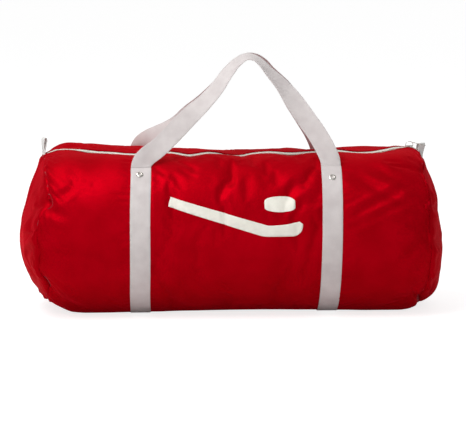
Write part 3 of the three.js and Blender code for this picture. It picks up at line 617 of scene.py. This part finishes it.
def swept(name, path, across, up, profile, material, closed=False):
    """A solid of one section, carried along a path. The profile is (across, up) points, running round once."""
    path, profile = np.asarray(path, float), np.asarray(profile, float)
    across, up = np.broadcast_to(across, path.shape), np.broadcast_to(up, path.shape)
    points = (path[:, None] + across[:, None] * profile[None, :, :1] + up[:, None] * profile[None, :, 1:])
    rows, columns = points.shape[:2]
    length = run_length(path)
    uv = np.stack(np.broadcast_arrays(length[:, None], profile[None, :, 0]), -1)
    faces = ring_faces(rows, columns) if closed else tube_faces(rows, columns)
    return fix_normals(make_object(name, points, faces, material, uv))


def fix_normals(obj):
    work = bmesh.new()
    work.from_mesh(obj.data)
    bmesh.ops.recalc_face_normals(work, faces=work.faces)
    work.to_mesh(obj.data)
    work.free()
    return obj


def flat_profile(width, thickness, foot=0.0, steps=8):
    """A flat band with round edges, its underside at foot."""
    radius = thickness / 2
    half = width / 2 - radius
    points = [(-half + (2 * half) * k / steps, foot) for k in range(steps + 1)]
    points += [(half + radius * math.cos(a), foot + radius + radius * math.sin(a)) for a in (-0.8, 0, 0.8)]
    points += [(half - (2 * half) * k / steps, foot + thickness) for k in range(steps + 1)]
    points += [(-half - radius * math.cos(a), foot + radius + radius * math.sin(a)) for a in (0.8, 0, -0.8)]
    return points


def lathe(name, profile, centre, axis, material, sides=40):
    """Turns a closed (radius, height) outline about an axis through centre."""
    axis = unit(np.asarray(axis, float))
    right = unit(np.cross(axis, [0.0, 0.3, 1.0]))
    other = np.cross(axis, right)
    turns = np.arange(sides) * math.tau / sides
    spoke = np.cos(turns)[:, None] * right + np.sin(turns)[:, None] * other
    profile = np.asarray(profile, float)
    points = centre + spoke[:, None] * profile[None, :, :1] + axis * profile[None, :, 1:]
    return fix_normals(make_object(name, points, ring_faces(sides, len(profile)), material))


def joined(name, parts):
    """Makes one piece of several objects."""
    work = bmesh.new()
    for part in parts:
        work.from_mesh(part.data)
    mesh = bpy.data.meshes.new(name)
    for material in parts[0].data.materials:
        mesh.materials.append(material)
    work.to_mesh(mesh)
    work.free()
    for part in parts:
        bpy.data.objects.remove(part)
    return placed(name, mesh)


def copies(faces, points, count):
    """The faces of a shape of so many points, for count such shapes."""
    return [[v + n * points for v in f] for n in range(count) for f in faces]


def dashes(name, starts, ends, lifts, radius, material):
    """A row of short round stitches, each lying from a start to an end and arched by lift."""
    starts, ends, lifts = (np.asarray(v, float) for v in (starts, ends, lifts))
    rings, sides = 5, 6
    u = np.linspace(0, 1, rings)
    swell = np.array([0.55, 0.95, 1.0, 0.95, 0.55])
    along = unit(ends - starts)
    side = unit(np.cross(along, lifts))
    up = unit(lifts)
    line = starts[:, None] + (ends - starts)[:, None] * u[None, :, None]
    line = line + up[:, None] * (radius * 1.1 * (4 * u * (1 - u) - 0.5))[None, :, None]
    turns = np.arange(sides) * math.tau / sides
    ring = (np.cos(turns)[None, None, :, None] * side[:, None, None]
            + np.sin(turns)[None, None, :, None] * up[:, None, None])
    points = line[:, :, None] + ring * (radius * swell)[None, :, None, None]
    return make_object(name, points, copies(tube_faces(rings, sides), rings * sides, len(starts)), material)


# ---- materials ----
class Finish:
    """A procedural material, built node by node on its own shader."""

    def __init__(self, name, **sockets):
        self.material = bpy.data.materials.new(name)
        self.material.use_nodes = True
        self.nodes, self.links = self.material.node_tree.nodes, self.material.node_tree.links
        self.sockets = self.nodes["Principled BSDF"].inputs
        for socket, value in sockets.items():
            self.sockets[socket.replace("_", " ")].default_value = value

    def maths(self, operation, a, b=0.0):
        made = self.nodes.new("ShaderNodeMath")
        made.operation = operation
        for socket, value in zip(made.inputs, (a, b)):
            if isinstance(value, (int, float)):
                socket.default_value = value
            else:
                self.links.new(value, socket)
        return made.outputs[0]

    def blotches(self, scale, detail):
        noise = self.nodes.new("ShaderNodeTexNoise")
        noise.inputs["Scale"].default_value = scale
        noise.inputs["Detail"].default_value = detail
        self.links.new(self.nodes.new("ShaderNodeTexCoord").outputs["Object"], noise.inputs["Vector"])
        return noise.outputs["Fac"]

    def weave(self, along_pitch, across_pitch):
        """Plain weave, threads passing over and under, and the distance from the cloth's middle line."""
        uv = self.nodes.new("ShaderNodeUVMap")
        uv.uv_map = "weave"
        split = self.nodes.new("ShaderNodeSeparateXYZ")
        self.links.new(uv.outputs["UV"], split.inputs[0])
        warp = self.maths("MULTIPLY", split.outputs[0], math.pi / along_pitch)
        weft = self.maths("MULTIPLY", split.outputs[1], math.pi / across_pitch)
        return self.maths("MULTIPLY", self.maths("SINE", warp), self.maths("SINE", weft)), split.outputs[1]

    def color(self, factor, dark, light):
        ramp = self.nodes.new("ShaderNodeValToRGB")
        for element, position, tone in zip(ramp.color_ramp.elements, (0.3, 0.7), (dark, light)):
            element.position = position
            element.color = (*tone, 1)
        self.links.new(factor, ramp.inputs["Fac"])
        self.links.new(ramp.outputs["Color"], self.sockets["Base Color"])

    def roughness(self, pattern, spread, least):
        rough = self.maths("ADD", self.maths("MULTIPLY", pattern, spread), least)
        self.links.new(rough, self.sockets["Roughness"])

    def bump(self, *layers):
        """Stacks bump layers: (height, strength, distance in metres)."""
        normal = None
        for height, strength, distance in layers:
            made = self.nodes.new("ShaderNodeBump")
            made.inputs["Strength"].default_value = strength
            made.inputs["Distance"].default_value = distance
            self.links.new(height, made.inputs["Height"])
            if normal is not None:
                self.links.new(normal, made.inputs["Normal"])
            normal = made.outputs["Normal"]
        self.links.new(normal, self.sockets["Normal"])


def cloth_material(name, dark, light, pitch=0.9 * MM):
    red_sheen = (1.0, 0.0, 0.02, 1)
    finish = Finish(name, Metallic=0.5, Sheen_Weight=0.5, Sheen_Roughness=0.5, Specular_IOR_Level=0.02,
                    Sheen_Tint=red_sheen, Specular_Tint=red_sheen)
    weave, _ = finish.weave(pitch, pitch)
    finish.color(finish.maths("ADD", finish.blotches(14, 4), finish.maths("MULTIPLY", weave, 0.06)), dark, light)
    finish.roughness(finish.blotches(260, 3), 0.14, 0.42)
    finish.bump((finish.blotches(55, 5), 0.25, 1.2 * MM), (weave, 0.35, 0.12 * MM))
    return finish.material


def webbing_material(name, dark, light, half_width=25 * MM, pitch=1.5 * MM):
    finish = Finish(name, Roughness=0.75, Sheen_Weight=0.2, Sheen_Roughness=0.5, Specular_IOR_Level=0.3)
    weave, off_middle = finish.weave(pitch * 0.7, pitch)
    selvage = finish.maths("GREATER_THAN", finish.maths("ABSOLUTE", off_middle), half_width - 2.6 * MM)
    tone = finish.maths("ADD", finish.blotches(30, 4), finish.maths("MULTIPLY", weave, 0.12))
    finish.color(finish.maths("SUBTRACT", tone, finish.maths("MULTIPLY", selvage, 0.12)), dark, light)
    finish.bump((finish.blotches(90, 3), 0.2, 0.6 * MM), (weave, 0.55, 0.28 * MM))
    return finish.material


def metal_material(name, color, roughness=0.24):
    finish = Finish(name, Metallic=1.0)
    scuffs = finish.blotches(900, 4)
    finish.color(scuffs, tuple(0.8 * c for c in color), color)
    finish.roughness(scuffs, 0.25, roughness - 0.1)
    finish.bump((finish.blotches(400, 4), 0.12, 0.2 * MM))
    return finish.material


def plastic_material(name, dark, light, roughness=0.4):
    finish = Finish(name, Specular_IOR_Level=0.5)
    mottle = finish.blotches(60, 4)
    finish.color(mottle, dark, light)
    finish.roughness(mottle, 0.2, roughness - 0.1)
    finish.bump((finish.blotches(700, 3), 0.15, 0.1 * MM))
    return finish.material


RED = cloth_material("red_nylon", (0.36, 0.0, 0.0045), (0.45, 0.0, 0.0065))
RED_TAPE = webbing_material("red_binding", (0.30, 0.0, 0.008), (0.40, 0.0, 0.014), 9 * MM, 1.1 * MM)
WEBBING = webbing_material("white_webbing", (0.60, 0.545, 0.54), (0.70, 0.65, 0.64))
LOOP_WEBBING = webbing_material("loop_webbing", (0.78, 0.77, 0.75), (0.86, 0.85, 0.83), 12.5 * MM, 1.2 * MM)
ZIP_TWILL = webbing_material("zip_twill", (0.78, 0.78, 0.70), (0.86, 0.87, 0.79), 30 * MM, 0.8 * MM)
COIL = plastic_material("nylon_coil", (0.80, 0.82, 0.73), (0.90, 0.92, 0.83))
THREAD = plastic_material("white_thread", (0.62, 0.60, 0.60), (0.74, 0.72, 0.72), 0.65)
RED_THREAD = plastic_material("red_thread", (0.36, 0.0, 0.01), (0.46, 0.0, 0.016), 0.6)
NICKEL = metal_material("worn_nickel", (0.72, 0.69, 0.64))
PRINT = plastic_material("matt_print", (0.80, 0.775, 0.69), (0.88, 0.86, 0.77), 0.62)


def opens(obj):
    """Bakes the piece's placement into its mesh."""
    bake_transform(obj)


HINGE_SHARE = float(share_at_level(0.0, MOUTH_HINGE[2]))


# ---- the pieces ----
def body_cloth(name, side, mouth, *nodes):
    """The front or rear cloth, from the base seam up to its edge beside the zip, where the edge is lifted a little.
    """
    rows = np.arange(FIRST_SEAM, LAST_SEAM + 1)
    edge_share = ZIP_GAP / HALF_GIRTH
    shares = np.arange(TOP_COLUMN) / TOP_COLUMN
    shares = np.append(shares[shares < 1 - edge_share - 0.003], 1 - edge_share)
    if side > 0:
        shares = 2 - shares[::-1]
    x, s = np.meshgrid(TUBE_X, shares, indexing="ij")
    grid, normals = on_skin(x, s)
    lip = smoothstep(np.minimum(s, 2 - s), 1 - edge_share - 0.012, 1 - edge_share)
    grid = grid + normals * ((0.0012 if side > 0 else 0.0008) * lip)[..., None]
    uv = np.stack([x + TUBE_HALF, s * HALF_GIRTH], -1)
    obj = sheet_solid(name, grid, normals, CLOTH, RED, uv)
    opens(obj)
    finish_as(obj, "cloth", *nodes)


def end_cloth(name, rows, node_name):
    grid, normals = SKIN[rows], SKIN_OUT[rows]
    uv = grid[..., 1:]
    obj = sheet_solid(name, grid, normals, CLOTH, RED, uv, tip=0 if rows[0] == 0 else -1)
    settle(obj, "shell", "cloth", node_name)


def cloths():
    body_cloth("front_cloth", -1, "front_mouth", "front_body_panel", "front_mouth_panel")
    body_cloth("rear_cloth", 1, "rear_mouth", "rear_body_panel", "rear_mouth_panel")
    end_cloth("left_end_cloth", np.arange(0, FIRST_SEAM + 1), "left_end_panel")
    end_cloth("right_end_cloth", np.arange(LAST_SEAM, len(SKIN)), "right_end_panel")


def girth_strap(side, name):
    """Webbing from the front handle's foot, down the front, under the base and up the back."""
    x = side * STRAP_X
    top = float(share_at_level(x, HANDLE_HINGE[2] - 1.5 * MM))
    rear_top = float(share_at_level(x, HANDLE_HINGE[2] - 1.5 * MM, rear=True))
    shares = np.linspace(top, rear_top - 2, 330)
    path, normal = on_skin(x + strap_lean(side, shares), shares % 2)
    path, normal = smooth_path(path), unit(smooth_path(normal))
    path[:, 2] = np.maximum(path[:, 2], 0.3 * MM)
    across = ALONG
    flat = np.abs(normal[:, 2] + 1) < 0.02
    lift = np.where(flat, 0.0, 0.5 * MM)[:, None]
    strap = swept(name, path + normal * lift, across, normal, flat_profile(STRAP_WIDTH, STRAP_THICKNESS), WEBBING)
    for vertex in strap.data.vertices:
        vertex.co.z = max(vertex.co.z, 0)
    settle(strap, "shell", "webbing", name)
    for edge, where in ((-1, "left"), (1, "right")):
        line = path + normal * (STRAP_THICKNESS + 0.5 * MM) + across * edge * (STRAP_WIDTH / 2 - 3.2 * MM)
        stitch_row(f"{name}_{where}_stitches", line, normal, "shell")


def strap_lean(side, share):
    """How far a strap has crept along the bag: the left one mostly at its front top, and a little at its foot."""
    if side < 0:
        return 3 * MM + 5 * MM * smoothstep(share, 0.55, 0.84) + 3 * MM * (1 - smoothstep(share, 0.1, 0.3))
    return 3.5 * MM * smoothstep(share, 0.35, 0.84) * (share < 1)


def smooth_path(path, rounds=6):
    for _ in range(rounds):
        path = np.concatenate([path[:1], (path[:-2] + 2 * path[1:-1] + path[2:]) / 4, path[-1:]])
    return path


def stitch_row(name, line, normal, body, inset=4 * MM, floor=6 * MM):
    """White stitches along a line, from inset to inset, wherever it runs over the floor level."""
    length = run_length(line)
    pitch = 4.5 * MM
    marks = np.arange(inset, length[-1] - inset, pitch)

    def at(distance, field):
        return np.stack([np.interp(distance, length, field[:, k]) for k in range(3)], -1)

    marks = marks[at(marks, line)[:, 2] > floor]
    starts, ends = at(marks, line), at(marks + pitch * 0.72, line)
    stitches = dashes(name, starts, ends, unit(at(marks, normal)), 0.38 * MM, THREAD)
    settle(stitches, body, "webbing")


# Points along each handle: across, up from the sewn foot, and how far the webbing is turned edge-on, in degrees.
FRONT_ARCH = [(-230, 0, 0), (-227, 12, 0), (-213, 28, 6), (-193, 42, 16), (-152, 78, 16), (-113, 116, 20),
              (-70, 154, 44), (-34, 192, 54), (-5, 230, 62), (13, 249, 69), (38, 262, 76), (59, 258, 76),
              (74, 247, 72), (91, 229, 66), (126, 192, 48), (154, 154, 22), (180, 116, 6), (207, 78, 0),
              (228, 41, 0), (239, 12, 0), (240, 0, 0)]
REAR_ARCH = [(-229, 0, 0), (-227, 10, -6), (-219, 25, -20), (-204, 39, -34), (-183, 51, -44), (-160, 62, -46),
             (-133, 77, -38), (-106, 98, -14), (-63, 138, 24), (-28, 181, 44), (0, 225, 60), (20, 250, 70),
             (43, 262, 76), (63, 259, 76), (80, 247, 72), (98, 225, 66), (135, 181, 48), (163, 137, 24),
             (192, 93, 8), (219, 48, 0), (234, 12, 0), (237, 0, 0)]
HANDLE_TOP_Y = 27 * MM


def handle(side, name, node_name, body):
    """A webbing handle that stands up from both girth straps and twists over at the top."""
    places = np.array(FRONT_ARCH if side < 0 else REAR_ARCH, float)
    spacing = run_length(places[:, :2])
    steps = np.linspace(0, spacing[-1], 200)
    x, rise, turn = (through(list(zip(spacing, places[:, k])))(steps) for k in range(3))
    x, rise = x * MM, np.maximum(rise, 0) * MM
    foot = HANDLE_HINGE[2]
    up = rise / rise.max()
    y = -(abs(HANDLE_HINGE[1]) + (HANDLE_TOP_Y - abs(HANDLE_HINGE[1])) * up)
    path = np.stack([x, y, foot + rise], -1)
    for k in (0, -1):
        strap_point, _ = on_skin(x[k], share_at_level(x[k], foot - 1.5 * MM))
        near = np.exp(-np.linalg.norm(path - path[k], axis=1) / 0.018)[:, None]
        path = path + (strap_point + np.array([0, -0.5 * MM, 0.6 * MM]) - path[k]) * near
    tangent = unit(np.gradient(path, axis=0))
    inward = unit(np.stack([tangent[:, 2], 0 * x, -tangent[:, 0]], -1))
    turn = np.radians(turn)[:, None]
    across = inward * np.cos(turn) - BEHIND * np.sin(turn)
    across = unit(across - tangent * (across * tangent).sum(-1, keepdims=True))
    near_foot = np.exp(-up / 0.025)[:, None]
    across = unit(across * (1 - near_foot) + ALONG * np.sign(-x)[:, None] * near_foot)
    face = np.cross(across, tangent)
    if side > 0:
        path, across, face = (v * np.array([1, -1, 1]) for v in (path, across, face))
    sag = 0.9 * MM * ripples(steps, 0, 4 + side, 160.0)
    path = path + face * sag[:, None]
    band = flat_profile(STRAP_WIDTH - 1 * MM, STRAP_THICKNESS, -STRAP_THICKNESS / 2)
    obj = swept(name, path, across, face, band, WEBBING)
    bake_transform(obj)
    finish_as(obj, "webbing", node_name)
    for edge, where in ((-1, "outer"), (1, "inner")):
        line = path + across * edge * (STRAP_WIDTH / 2 - 3.6 * MM)
        for facing, surface in ((-1, "back"), (1, "face")):
            stitch_row(f"{name}_{where}_{surface}_stitches", line + face * facing * STRAP_THICKNESS / 2,
                       face * facing, body, inset=40 * MM)


RIVET_PROFILE = [(3.5, -2.6), (3.6, 0.5), (4.0, 1.15), (4.8, 1.5), (5.9, 1.55), (7.2, 1.2), (8.3, 0.65),
                 (9.0, 0.1), (9.1, -0.15), (8.8, -0.3), (4.9, -0.3), (4.7, -2.6)]
RIVET_FLOOR = [(0.05, -2.1), (3.6, -2.1), (3.6, -2.55), (0.05, -2.55)]


def rivet(side, rear, name, node_name):
    """A tubular rivet: a domed silver flange with a sunk dark middle, and its washer inside."""
    x = side * STRAP_X + (0 if rear else 4 * MM)
    level = RIVET_LEVEL + (0 if rear else 3 * MM if side < 0 else -6 * MM)
    centre, normal = on_skin(x, float(share_at_level(x, level, rear)))
    centre = centre + normal * (STRAP_THICKNESS + 0.7 * MM)
    ring = lathe(name + "_ring", np.array(RIVET_PROFILE) * MM, centre, normal, NICKEL)
    floor = lathe(name + "_floor", np.array(RIVET_FLOOR) * MM, centre, normal, NICKEL)
    washer = lathe(name + "_washer_ring", np.array([(4.3, -5.4), (7.0, -5.4), (7.0, -6.4), (4.3, -6.4)]) * MM,
                   centre, normal, NICKEL)
    obj = joined(name, [ring, floor, washer])
    settle(obj, "shell", "nickel", node_name, node_name + "_washer")


ZIP_STATIONS = np.linspace(-0.4735, 0.4735, 420)
TAPE_DEPTH = 1.3 * MM


def zip_tape(side, place, end):
    """Twill tape from the coil out under the cloth edge."""
    shares = np.array([0.7, 2.2, 4.0, 6.0, 9.0, 14.0, 20.0]) * MM
    x, reach = np.meshgrid(ZIP_STATIONS, shares, indexing="ij")
    share = 1 + side * reach / HALF_GIRTH
    grid, normals = on_skin(x, share, -TAPE_DEPTH)
    under = smoothstep(reach, 4 * MM, 12 * MM)
    grid = grid - normals * (0.8 * MM * under)[..., None]
    uv = np.stack([x, reach], -1)
    if side < 0:
        grid, normals, uv, x, share = grid[:, ::-1], normals[:, ::-1], uv[:, ::-1], x[:, ::-1], share[:, ::-1]
    obj = sheet_solid(place + "_tape", grid, normals, 0.7 * MM, ZIP_TWILL, uv)
    opens(obj)
    finish_as(obj, "zip_tape", place + "_zip_tape", end + "_zip_end")


def zip_coil(side, place, end):
    """One side's row of nylon coil: a bent loop for each tooth, sewn along the tape's edge."""
    pitch = 2.0 * MM
    stations = np.arange(-0.464, 0.464, pitch) + (pitch / 2 if side > 0 else 0)
    loop = np.array([(3.4, 0.0), (1.6, 0.15), (-0.5, 0.35), (-0.9, 0.95), (-0.5, 1.55), (1.6, 1.7), (3.4, 1.5)]) * MM
    points, rise_way = on_skin(stations, 1.0)
    out_way = np.cross(rise_way, -ALONG)
    radius = 0.42 * MM
    sides = 6
    turns = np.arange(sides) * math.tau / sides
    tangent = unit(np.gradient(loop, axis=0))
    ring = np.array([(math.cos(t) * radius * 1.6, out - dz * math.sin(t) * radius, rise + dy * math.sin(t) * radius)
                     for (out, rise), (dy, dz) in zip(loop, tangent) for t in turns])
    tooth = (points[:, None] + ring[None, :, :1] * ALONG
             + ring[None, :, 1:2] * side * out_way[:, None]
             + (ring[None, :, 2:] - TAPE_DEPTH + 0.55 * MM) * rise_way[:, None])
    count = len(ring)
    faces = copies(tube_faces(len(loop), sides), count, len(stations))
    obj = fix_normals(make_object(place + "_coil", tooth, faces, COIL))
    opens(obj)
    finish_as(obj, "zip_coil", place + "_zip_coil")


def zip_topstitch(side, place, end):
    """The line of red stitches that holds the folded cloth edge to the tape."""
    pitch = 3.6 * MM
    stations = np.arange(-0.466, 0.466, pitch)
    share = 1 + side * 9.2 * MM / HALF_GIRTH
    lift = CLOTH * 0.9 if side < 0 else CLOTH
    starts, normal = on_skin(stations, share, lift)
    ends, _ = on_skin(stations + pitch * 0.7, share, lift)
    obj = dashes(place + "_topstitch", starts, ends, normal, 0.3 * MM, RED_THREAD)
    opens(obj)


def plate(name, outline, thickness, origin, right=(1, 0, 0), up=(0, 1, 0), bevel=0.25 * MM, holes=()):
    """A nickel plate of an outline (right, up) centred on origin, in millimetres, with holes and softened edges."""
    right, up = np.asarray(right, float), np.asarray(up, float)
    work = bmesh.new()
    loops = []
    for points in [outline, *holes]:
        ring = [work.verts.new(Vector(origin + (right * a + up * b) * MM)) for a, b in points]
        loops += [work.edges.new((ring[k], ring[(k + 1) % len(ring)])) for k in range(len(ring))]
    bmesh.ops.triangle_fill(work, use_beauty=True, edges=loops)
    normal = Vector(np.cross(right, up))
    made = bmesh.ops.extrude_face_region(work, geom=work.faces[:])
    moved = [v for v in made["geom"] if isinstance(v, bmesh.types.BMVert)]
    bmesh.ops.translate(work, verts=moved, vec=normal * thickness)
    bmesh.ops.translate(work, verts=work.verts, vec=normal * (-thickness / 2))
    bmesh.ops.recalc_face_normals(work, faces=work.faces)
    sharp = [e for e in work.edges if e.is_manifold and e.calc_face_angle(0) > 0.9]
    bmesh.ops.bevel(work, geom=sharp, offset=bevel, segments=2, profile=0.6, affect="EDGES")
    mesh = bpy.data.meshes.new(name)
    work.to_mesh(mesh)
    work.free()
    mesh.materials.append(NICKEL)
    mesh.shade_smooth()
    return placed(name, mesh)


def ring_arc(centre, radius, start, end, steps):
    turns = np.radians(np.linspace(start, end, steps))
    return [(centre[0] + radius * math.cos(t), centre[1] + radius * math.sin(t)) for t in turns]


def slider():
    """The zip slider: two shaped plates, a wedge between them and a bridge over the top."""
    x, z = SLIDER_REST, low("zip_slider")[2]
    top = 407.5 * MM
    crown = 4.7 * MM  # the bridge is this much taller, to hold the tab at its joint
    wide, waist, half = 5.6, 4.4, 10
    outline = ([(-half, -waist), (-0.2 * half, -waist)] + ring_arc((half - wide, 0), wide, -80, 80, 12)
               + [(-0.2 * half, waist), (-half, waist)])
    parts = [plate("slider_top", outline, 1.4 * MM, (x, 0, top - 0.65 * MM)),
             plate("slider_base", outline, 1.2 * MM, (x, 0, z - 4.0 * MM))]
    post = ring_arc((half - 3, 0), 1.2, 0, 330, 12)
    parts.append(plate("slider_post", post, top - z + 3.0 * MM, (x, 0, (top + z - 4.6 * MM) / 2), bevel=0.05 * MM))
    for side in (-1, 1):
        flank = [(-half, 0), (half * 0.1, 0), (half * 0.1, 1.6), (-half, 1.6)]
        parts.append(plate(f"slider_flank{side}", flank, 0.9 * MM, (x, side * (waist - 0.4) * MM, top - 2.9 * MM),
                           up=(0, 0, 1)))
    turns = np.linspace(math.pi, 0, 24)
    arch = (6.2 * MM + crown) * np.sin(turns) ** 0.7
    path = np.stack([x + 9.2 * MM * np.cos(turns), 0 * turns, top - 0.6 * MM + arch], -1)
    tangent = unit(np.gradient(path, axis=0))
    face = np.stack([-tangent[:, 2], 0 * turns, tangent[:, 0]], -1)
    band = flat_profile(3.2 * MM, 1.3 * MM, -0.6 * MM, 3)
    parts.append(swept("slider_bridge", path, (0, 1, 0), face, band, NICKEL))
    obj = joined("slider", parts)
    obj.data.shade_smooth()
    settle(obj, "slider", "nickel", "zip_slider")


def puller():
    """The pull tab: a waisted plate with an eye on the bridge and a long slot."""
    pivot = np.array(JOINTS["puller_flip"]["pos_m"])
    droop = math.radians(14)
    along = np.array([math.cos(droop), 0, -math.sin(droop)])
    length = 36
    outline = (ring_arc((0.2, 1.7), 1.2, 90, 180, 5) + ring_arc((0.2, -1.7), 1.2, 180, 270, 5)
               + [(10, -2.9), (15, -3.9)] + ring_arc((length - 4, 0), 4, -80, 80, 12) + [(15, 3.9), (10, 2.9)])
    slot = ring_arc((16.5, 0), 1.5, 90, 270, 8) + ring_arc((length - 6, 0), 1.9, -90, 90, 8)
    eye = ring_arc((9.2, 0), 1.9, -80, 80, 8) + [(0.8, 1.9), (0.8, -1.9)]
    obj = plate("pull_tab", outline, 1.5 * MM, pivot, along, BEHIND, 0.3 * MM, (slot, eye))
    settle(obj, "puller", "nickel", "zip_puller")


def zip_stop(side, place, end):
    """A metal stop crimped over both coils."""
    name = end + "_zip_stop"
    x = side * abs(middle(name)[0])
    point, _ = on_skin(x, 1.0)
    turns = np.linspace(0, math.tau, 28, endpoint=False)
    path = np.stack([x + 0 * turns, point[1] + 3.1 * MM * np.cos(turns),
                     point[2] - 1.3 * MM + 1.9 * MM * np.sin(turns)], -1)
    tangent = unit(np.roll(path, -1, 0) - np.roll(path, 1, 0))
    face = np.cross(ALONG, tangent)
    obj = swept(name + "_crimp", path, (1, 0, 0), face, flat_profile(2.6 * MM, 0.7 * MM, 0, 3), NICKEL, closed=True)
    settle(obj, "shell", "nickel", name)


LOOP_ASIDE = {-1: 4 * MM, 1: 14 * MM}  # how far behind the zip each loop is sewn


def pull_loop(side, name, height, lean, turned):
    """A loop of webbing sewn into the end seam beside the zip's end, pinched at its foot."""
    foot, _ = on_skin(side * TUBE_HALF, 1 + LOOP_ASIDE[side] / HALF_GIRTH)
    share = np.linspace(0, 1, 64)
    wide = 4.6 * MM
    rise = height * np.sin(np.pi * share) ** 0.75
    aside = wide * np.sin(math.tau * share) * np.sin(np.pi * share) ** 0.4
    path = foot + np.stack([lean * (rise / height) ** 1.4 - aside, 0.10 * rise, rise], -1)
    path[0, 0] -= 1.3 * MM
    path[-1, 0] += 1.3 * MM
    tangent = unit(np.gradient(path, axis=0))
    turn = math.radians(turned)
    spin = np.array([[math.cos(turn), -math.sin(turn), 0], [math.sin(turn), math.cos(turn), 0], [0, 0, 1.0]])
    path, tangent, over = (path - foot) @ spin.T + foot, tangent @ spin.T, spin @ BEHIND
    face = unit(np.cross(over, tangent))
    obj = swept(name + "_webbing", path, over, face, flat_profile(24 * MM, 1.5 * MM, -0.75 * MM, 6), LOOP_WEBBING)
    settle(obj, "shell", "webbing", name)


def printed(node_name):
    """A thin print that follows the cloth, with the outline of its CAD solid."""
    work = bmesh.new()
    work.from_mesh(frame["nodes"][node_name].data)
    bmesh.ops.remove_doubles(work, verts=work.verts, dist=1e-6)
    work.normal_update()
    back = [f for f in work.faces if f.normal.y > -0.35]
    bmesh.ops.delete(work, geom=back, context="FACES")
    lo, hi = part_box(node_name)
    step = 5 * MM
    for axis, (start, end) in ((Vector((1, 0, 0)), (lo.x, hi.x)), (Vector((0, 0, 1)), (lo.z, hi.z))):
        for k in range(1, int((end - start) / step)):
            geometry = work.verts[:] + work.edges[:] + work.faces[:]
            bmesh.ops.bisect_plane(work, geom=geometry, plane_co=axis * (start + k * step), plane_no=axis)
    for vertex in work.verts:
        share = float(share_at_level(vertex.co.x, vertex.co.z))
        vertex.co = Vector(on_skin(vertex.co.x, share, 0.7 * MM)[0])
    bmesh.ops.dissolve_degenerate(work, edges=work.edges, dist=1e-6)
    work.normal_update()
    mesh = bpy.data.meshes.new(node_name + "_print")
    work.to_mesh(mesh)
    work.free()
    mesh.materials.clear()
    mesh.materials.append(PRINT)
    mesh.shade_smooth()
    obj = placed(mesh.name, mesh)
    thick = obj.modifiers.new("film", "SOLIDIFY")
    thick.thickness = 0.3 * MM
    thick.offset = -1
    settle(obj, "shell", "print", node_name)


def seam_binding(side, name):
    """Red tape over the raw seam edges, inside."""
    row = FIRST_SEAM if side < 0 else LAST_SEAM
    inset = row + (4 if side < 0 else -4)
    ring = (SKIN[inset] + SKIN[row]) / 2 - SKIN_OUT[inset] * 4.5 * MM
    tangent = unit(np.roll(ring, -1, 0) - np.roll(ring, 1, 0))
    across = ALONG * np.ones_like(ring)
    across = unit(across - tangent * (across * tangent).sum(-1, keepdims=True))
    face = np.cross(across, tangent)
    obj = swept(name + "_tape", ring, across, face, flat_profile(15 * MM, 1.4 * MM, -0.7 * MM, 4), RED_TAPE,
                closed=True)
    settle(obj, "shell", "binding", name)


def base_binding():
    stations = np.linspace(-0.462, 0.462, 120)
    path, _ = on_skin(stations, 0.0)
    path = path + np.array([0, 0, CLOTH + 2.2 * MM])
    obj = swept("base_seam_tape", path, (0, 1, 0), (0, 0, 1), flat_profile(17 * MM, 1.3 * MM, 0, 4), RED_TAPE)
    settle(obj, "shell", "binding", "base_seam_binding")


def build():
    cloths()
    for side, name in ((-1, "left_girth_strap"), (1, "right_girth_strap")):
        girth_strap(side, name)
        for rear, place in ((False, "front"), (True, "rear")):
            node_name = f"{place}_{'left' if side < 0 else 'right'}_rivet"
            rivet(side, rear, node_name + "_metal", node_name)
    handle(-1, "front_carry_handle", "front_handle", "front_grip")
    handle(1, "rear_carry_handle", "rear_handle", "rear_grip")
    for make in (zip_tape, zip_coil, zip_topstitch, zip_stop):
        make(-1, "front", "left")
        make(1, "rear", "right")
    slider()
    puller()
    pull_loop(-1, "left_pull_loop", 46 * MM, 4 * MM, 15)
    pull_loop(1, "right_pull_loop", 36 * MM, 2 * MM, -48)
    printed("emblem_stick")
    printed("emblem_puck")
    seam_binding(-1, "left_seam_binding")
    seam_binding(1, "right_seam_binding")
    base_binding()


make_camera()
make_studio()
build()
